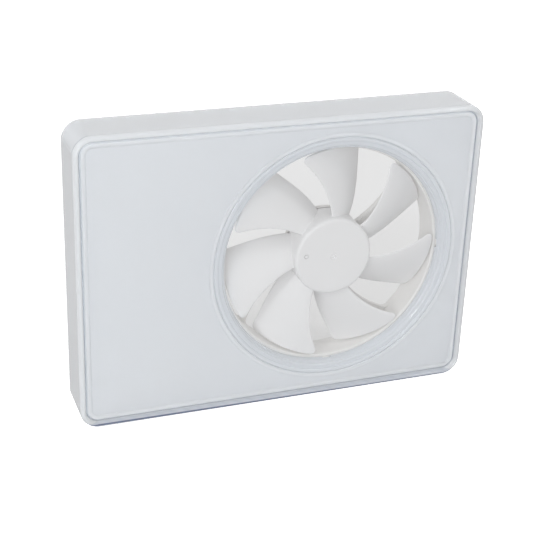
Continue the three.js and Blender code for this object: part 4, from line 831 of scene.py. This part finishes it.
def blade_rows(turn):
    """One blade as rows from its root to its tip, turned by an angle in degrees.

    At a radius, the section runs from the leading edge to the trailing one. Their angles are
    bent shares of a sweep. The leading edge climbs in a straight line and the trailing one is
    level. The section is bowed by a parabola and as thick as a sine, with an even power to
    round its two ends. Near the tip both ends are cut back along circles.
    """
    corner = TIP_R - LEAD_CORNER
    turn_in = np.linspace(0, np.pi / 2, 16)[1:-1]
    radius = np.concatenate([
        np.linspace(HUB_R - OVERLAP, corner, 36), corner + LEAD_CORNER * np.sin(turn_in),
        [TIP_R - 0.02]])
    radius = radius[:, None]
    share = (radius - HUB_R) / (TIP_R - HUB_R)
    lead = LEAD_DEG + LEAD_SWEEP * bent(share, LEAD_BEND)
    trail = TRAIL_DEG + TRAIL_SWEEP * bent(share, TRAIL_BEND)
    lead_height = LEAD_HUB_HEIGHT + (LEAD_TIP_HEIGHT - LEAD_HUB_HEIGHT) * share
    rise = lead_height - TRAIL_HEIGHT
    chord = np.radians(lead - trail) * radius
    pitch = np.arctan2(rise, chord)
    cuts = []
    for size in (LEAD_CORNER, TRAIL_CORNER):
        into = np.clip(radius - TIP_R + size, 0, size)
        cuts.append((size - np.sqrt(size**2 - into**2)) / chord)
    spin = along(0, 2 * np.pi, 56)[None, :]
    across = 0.5 - 0.5 * np.cos(spin)
    at = cuts[0] + (1 - cuts[0] - cuts[1]) * across
    bow = BLADE_CAMBER * 4 * at * (1 - at)
    belly = BLADE_WALL / 2 * (0.42 + 0.58 * np.sin(np.pi * (0.15 + 0.8 * at)))
    belly = belly * (1 - (2 * across - 1) ** BLADE_END_POWER) ** 0.5
    off = bow + np.sign(np.sin(spin)) * belly
    forward = (1 - at) * chord - off * np.sin(pitch)
    angle = np.radians(trail + turn) + forward / radius
    height = lead_height - rise * at + off * np.cos(pitch)
    return np.stack([radius * np.cos(angle), -height, radius * np.sin(angle)], -1)


def hub_rows():
    """The hub's profile turned about the duct axis, from the middle of its face to its inside."""
    turn = np.linspace(0, np.pi / 2, 12)
    face = HUB_FRONT
    radii = np.concatenate([
        GATE_RADII, FACE_RADII, HUB_R - HUB_SHOULDER + HUB_SHOULDER * np.sin(turn),
        [HUB_R, HUB_R - RIM_EASE, HUB_INNER + 0.1, HUB_INNER, HUB_INNER, BOSS_R, BOSS_R],
        [BUSH_SOCKET_R, BUSH_SOCKET_R, 0.01]])
    heights = np.concatenate([
        face - np.array(GATE_DEPTHS), np.full(len(FACE_RADII), face),
        face - HUB_SHOULDER * (1 - np.cos(turn)),
        [HUB_REAR + RIM_EASE, HUB_REAR, HUB_REAR, HUB_REAR + RIM_EASE, HUB_CEILING, HUB_CEILING,
         BUSH_SOCKET_REAR, BUSH_SOCKET_REAR, HUB_CEILING, HUB_CEILING]])
    return ring_rows(along(0, 2 * np.pi, 180), radii, heights)


def impeller_plastic():
    """The frame's plastic with the ejector's faint round mark pressed into the hub's face."""
    made = plastic("impeller_white", (0.86, 0.857, 0.86), (0.875, 0.872, 0.875), 0.5, 1500, 5e-5)
    tree = made.node_tree
    start = Wire(tree)
    body = next(node for node in tree.nodes if node.type == "BSDF_PRINCIPLED")
    skin = next(node for node in tree.nodes if node.type == "BUMP")
    turn = np.radians(PIN_MARK_DEG)
    x = coordinate(start, "X") - PIN_MARK_REACH * np.cos(turn)
    z = coordinate(start, "Z") - PIN_MARK_REACH * np.sin(turn)
    away = x.maths("SQRT", x * x + z * z)
    on_face = (0 - coordinate(start, "Y")).between(HUB_FRONT - 0.5, HUB_FRONT - 0.2)
    pressed = 1 - (1 - away.between(PIN_MARK_R - 0.15, PIN_MARK_R + 0.1)) * on_face
    mark = start.node("Bump", {}, {
        "Height": pressed, "Strength": 1.0, "Distance": PIN_MARK_DEPTH,
        "Normal": Wire(tree, skin.outputs[0])})
    tree.links.new(mark.socket, body.inputs["Normal"])
    return made


impeller_white = impeller_plastic()
impeller_pieces = [surface("impeller_hub", hub_rows(), "capped")]
for k in range(BLADES):
    blade = blade_rows(360 * k / BLADES)
    impeller_pieces.append(surface(f"impeller_blade_{k + 1}", blade, "capped"))
for piece in impeller_pieces:
    piece.data.materials.append(impeller_white)
    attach(piece, "rotor")
    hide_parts("impeller")


# ------------------------------------------------------------------ motor, turning part
# A pressed steel cup with a ferrite ring magnet is glued into the hub. The ground shaft sits
# in a brass bush in the hub, and a spring clip keeps it in its bearings.


def metal(name, colour, shade, roughness, scale, stretch=(1, 1, 1), depth=1e-5):
    """A bare metal: noise stretched along the tool's path gives its tone, gloss and scratches.

    scale is the number of cells to a metre, which stretch multiplies along each axis.
    """
    made = bpy.data.materials.new(name)
    start, output = new_tree(made)
    sockets = {0: object_coords(start), 1: stretch}
    spread = start.node("VectorMath", {"operation": "MULTIPLY"}, sockets)
    marks = start.node("TexNoise", {}, {"Vector": spread, "Scale": scale, "Detail": 3.0})
    tone = marks.steps((0.3, 0), (0.7, 1)).blend((*colour, 1), (*shade, 1))
    body = start.node("BsdfPrincipled", {}, {
        "Base Color": tone, "Metallic": 1.0, "Roughness": roughness - 0.05 + 0.1 * marks,
        "Normal": bump(start, marks, 0.4, depth)})
    start.tree.links.new(body.socket, output.inputs["Surface"])
    return made


yoke_steel = metal("yoke_steel", (0.52, 0.53, 0.54), (0.60, 0.61, 0.62), 0.38, 400, (1, 6, 1))
ground_steel = metal("ground_steel", (0.62, 0.63, 0.64), (0.70, 0.71, 0.72), 0.2, 500, (1, 9, 1))
spring_steel = metal("spring_steel", (0.36, 0.37, 0.40), (0.44, 0.45, 0.48), 0.3, 900)
bush_brass = metal("bush_brass", (0.70, 0.54, 0.26), (0.78, 0.62, 0.33), 0.28, 600, (1, 8, 1))
ferrite = plastic("magnet_ferrite", (0.035, 0.036, 0.04), (0.055, 0.056, 0.06), 0.62, 2200, 6e-5)
dress(yoke_steel, "rotor_yoke")
dress(ground_steel, "shaft")
dress(spring_steel, "shaft_clip")
dress(bush_brass, "hub_bush")
dress(ferrite, "magnet_ring")


# ------------------------------------------------------------------ motor, standing part
# Two shielded ball bearings sit in the cup's tube. Round it stand a laminated core between
# two nylon insulators, six coils of enamelled wire, and a small round board behind them.

bearing_steel = metal(
    "bearing_steel", (0.60, 0.61, 0.62), (0.68, 0.69, 0.70), 0.24, 700, (1, 5, 1))
nylon = plastic("insulator_nylon", (0.60, 0.58, 0.52), (0.66, 0.64, 0.58), 0.45, 900, 4e-5)
dress(bearing_steel, "bearing_rear", "bearing_front")
dress(nylon, "insulator_rear", "insulator_front")


def banded(name, colour, gap_colour, per_metre, metallic, roughness, depth, axis="Y"):
    """Layers or turns lying side by side along an axis, with a dark line between neighbours.

    per_metre is the number of layers to a metre, and depth a line's depth in metres.
    """
    made = bpy.data.materials.new(name)
    start, output = new_tree(made)
    settings = {"wave_type": "BANDS", "bands_direction": axis, "wave_profile": "SIN"}
    sockets = {"Vector": object_coords(start), "Scale": per_metre / 2.0,
               "Distortion": 0.3, "Detail": 1.0}
    bands = start.node("TexWave", settings, sockets, out=1)
    tone = bands.steps((0.05, 0), (0.5, 1)).blend((*gap_colour, 1), (*colour, 1))
    uneven = grain(start, 260, 2.0)
    tone = uneven.steps((0.3, 0), (0.7, 1)).blend(tone, (*colour, 1))
    body = start.node("BsdfPrincipled", {}, {
        "Base Color": tone, "Metallic": metallic, "Roughness": roughness - 0.08 + 0.16 * uneven,
        "Normal": bump(start, bands, 0.6, depth)})
    start.tree.links.new(body.socket, output.inputs["Surface"])
    return made


laminations = banded(
    "core_laminations", (0.42, 0.43, 0.45), (0.16, 0.16, 0.17), 2000, 1.0, 0.45, 6e-5)
winding = banded("coil_winding", (0.50, 0.21, 0.09), (0.20, 0.07, 0.03), 3300, 0.7, 0.32, 1e-4)
dress(laminations, "stator_core")
dress(winding, *(f"coil_{k}" for k in range(1, 7)))


def board_finish():
    """Solder mask on glass cloth: a fine weave, and paler runs where copper lies under it."""
    made = bpy.data.materials.new("board_mask")
    start, output = new_tree(made)
    place = object_coords(start)
    settings = {"wave_type": "BANDS", "bands_direction": "X"}
    sockets = {"Vector": place, "Scale": 900.0, "Distortion": 1.0}
    weave = start.node("TexWave", settings, sockets, out=1)
    runs = start.node("TexBrick", {"offset": 0.37}, {
        "Vector": place, "Color1": WHITE, "Color2": WHITE, "Mortar": (0, 0, 0, 1),
        "Scale": 90.0, "Mortar Size": 0.06, "Brick Width": 0.9, "Row Height": 0.32})
    cloth = weave.blend((0.012, 0.13, 0.065, 1), (0.018, 0.16, 0.08, 1))
    tone = runs.blend((0.05, 0.27, 0.13, 1), cloth)
    body = start.node("BsdfPrincipled", {}, {
        "Base Color": tone, "Roughness": 0.24 + 0.14 * grain(start, 500),
        "Normal": bump(start, runs, 0.5, 5e-5)})
    start.tree.links.new(body.socket, output.inputs["Surface"])
    return made


board_green = board_finish()
dress(board_green, "motor_board")


# ------------------------------------------------------------------ control board
# A glass-cloth board on three posts of the base. It carries the screw terminals, a taped
# transformer, two capacitors, a disc varistor, the control chip and the motor's plug.

terminal_grey = plastic("terminal_grey", (0.30, 0.32, 0.34), (0.35, 0.37, 0.39), 0.4, 900, 4e-5)
chip_black = plastic("chip_black", (0.018, 0.018, 0.02), (0.03, 0.03, 0.032), 0.55, 2600, 5e-5)
plug_white = plastic("plug_nylon", (0.66, 0.65, 0.60), (0.71, 0.70, 0.65), 0.4, 900, 4e-5)
varistor_blue = plastic(
    "varistor_epoxy", (0.04, 0.14, 0.42), (0.06, 0.18, 0.50), 0.25, 500, 1.2e-4, 0.4)
capacitor_box = plastic("capacitor_case", (0.50, 0.34, 0.08), (0.56, 0.39, 0.10), 0.3, 800, 3e-5)
capacitor_can = metal(
    "capacitor_can", (0.66, 0.67, 0.68), (0.74, 0.75, 0.76), 0.3, 500, (1, 0.2, 1))
winding_tape = banded(
    "transformer_tape", (0.76, 0.56, 0.10), (0.52, 0.36, 0.05), 300, 0.0, 0.35, 1e-4, "Z")
dress(board_green, "control_board")
dress(terminal_grey, "terminal_block")
dress(winding_tape, "transformer")
dress(capacitor_can, "capacitor_large")
dress(capacitor_box, "capacitor_small")
dress(varistor_blue, "varistor")
dress(chip_black, "control_chip")
dress(plug_white, "motor_plug")


# ------------------------------------------------------------------ motor lead
# One round lead in a soft black sheath. It runs from the motor's board in the channel behind
# a strut, through the duct ring's wall and round to its plug.

lead_sheath = plastic(
    "lead_sheath", (0.022, 0.022, 0.024), (0.035, 0.035, 0.038), 0.48, 1100, 6e-5)
dress(lead_sheath, "motor_lead")


# ------------------------------------------------------------------ terminal cover and cable entry
# A plain white lid is screwed over the terminals. A rubber grommet lines the cable's hole in
# the base, and a clamp with two screws holds the cable beside it.

lid_white = plastic("lid_white", (0.77, 0.77, 0.76), (0.80, 0.80, 0.79), 0.45, 1300, 5e-5)
clamp_white = plastic("clamp_white", (0.72, 0.72, 0.71), (0.76, 0.76, 0.75), 0.5, 1000, 6e-5)
rubber = plastic("grommet_rubber", (0.02, 0.02, 0.021), (0.032, 0.032, 0.034), 0.68, 1400, 1e-4)
dress(lid_white, "terminal_lid")
dress(clamp_white, "cable_clamp")
dress(rubber, "cable_grommet")


# ------------------------------------------------------------------ screws
# Small zinc-plated screws with slotted heads: four through the frame's lugs, three through
# the board, one in the lid and two in the cable clamp.

zinc = metal("zinc_plate", (0.62, 0.63, 0.66), (0.72, 0.73, 0.74), 0.3, 350, depth=2e-5)
dress(zinc, *(f"frame_screw_{k}" for k in range(1, 5)))
dress(zinc, *(f"board_screw_{k}" for k in range(1, 4)))
dress(zinc, "lid_screw", "clamp_screw_1", "clamp_screw_2")
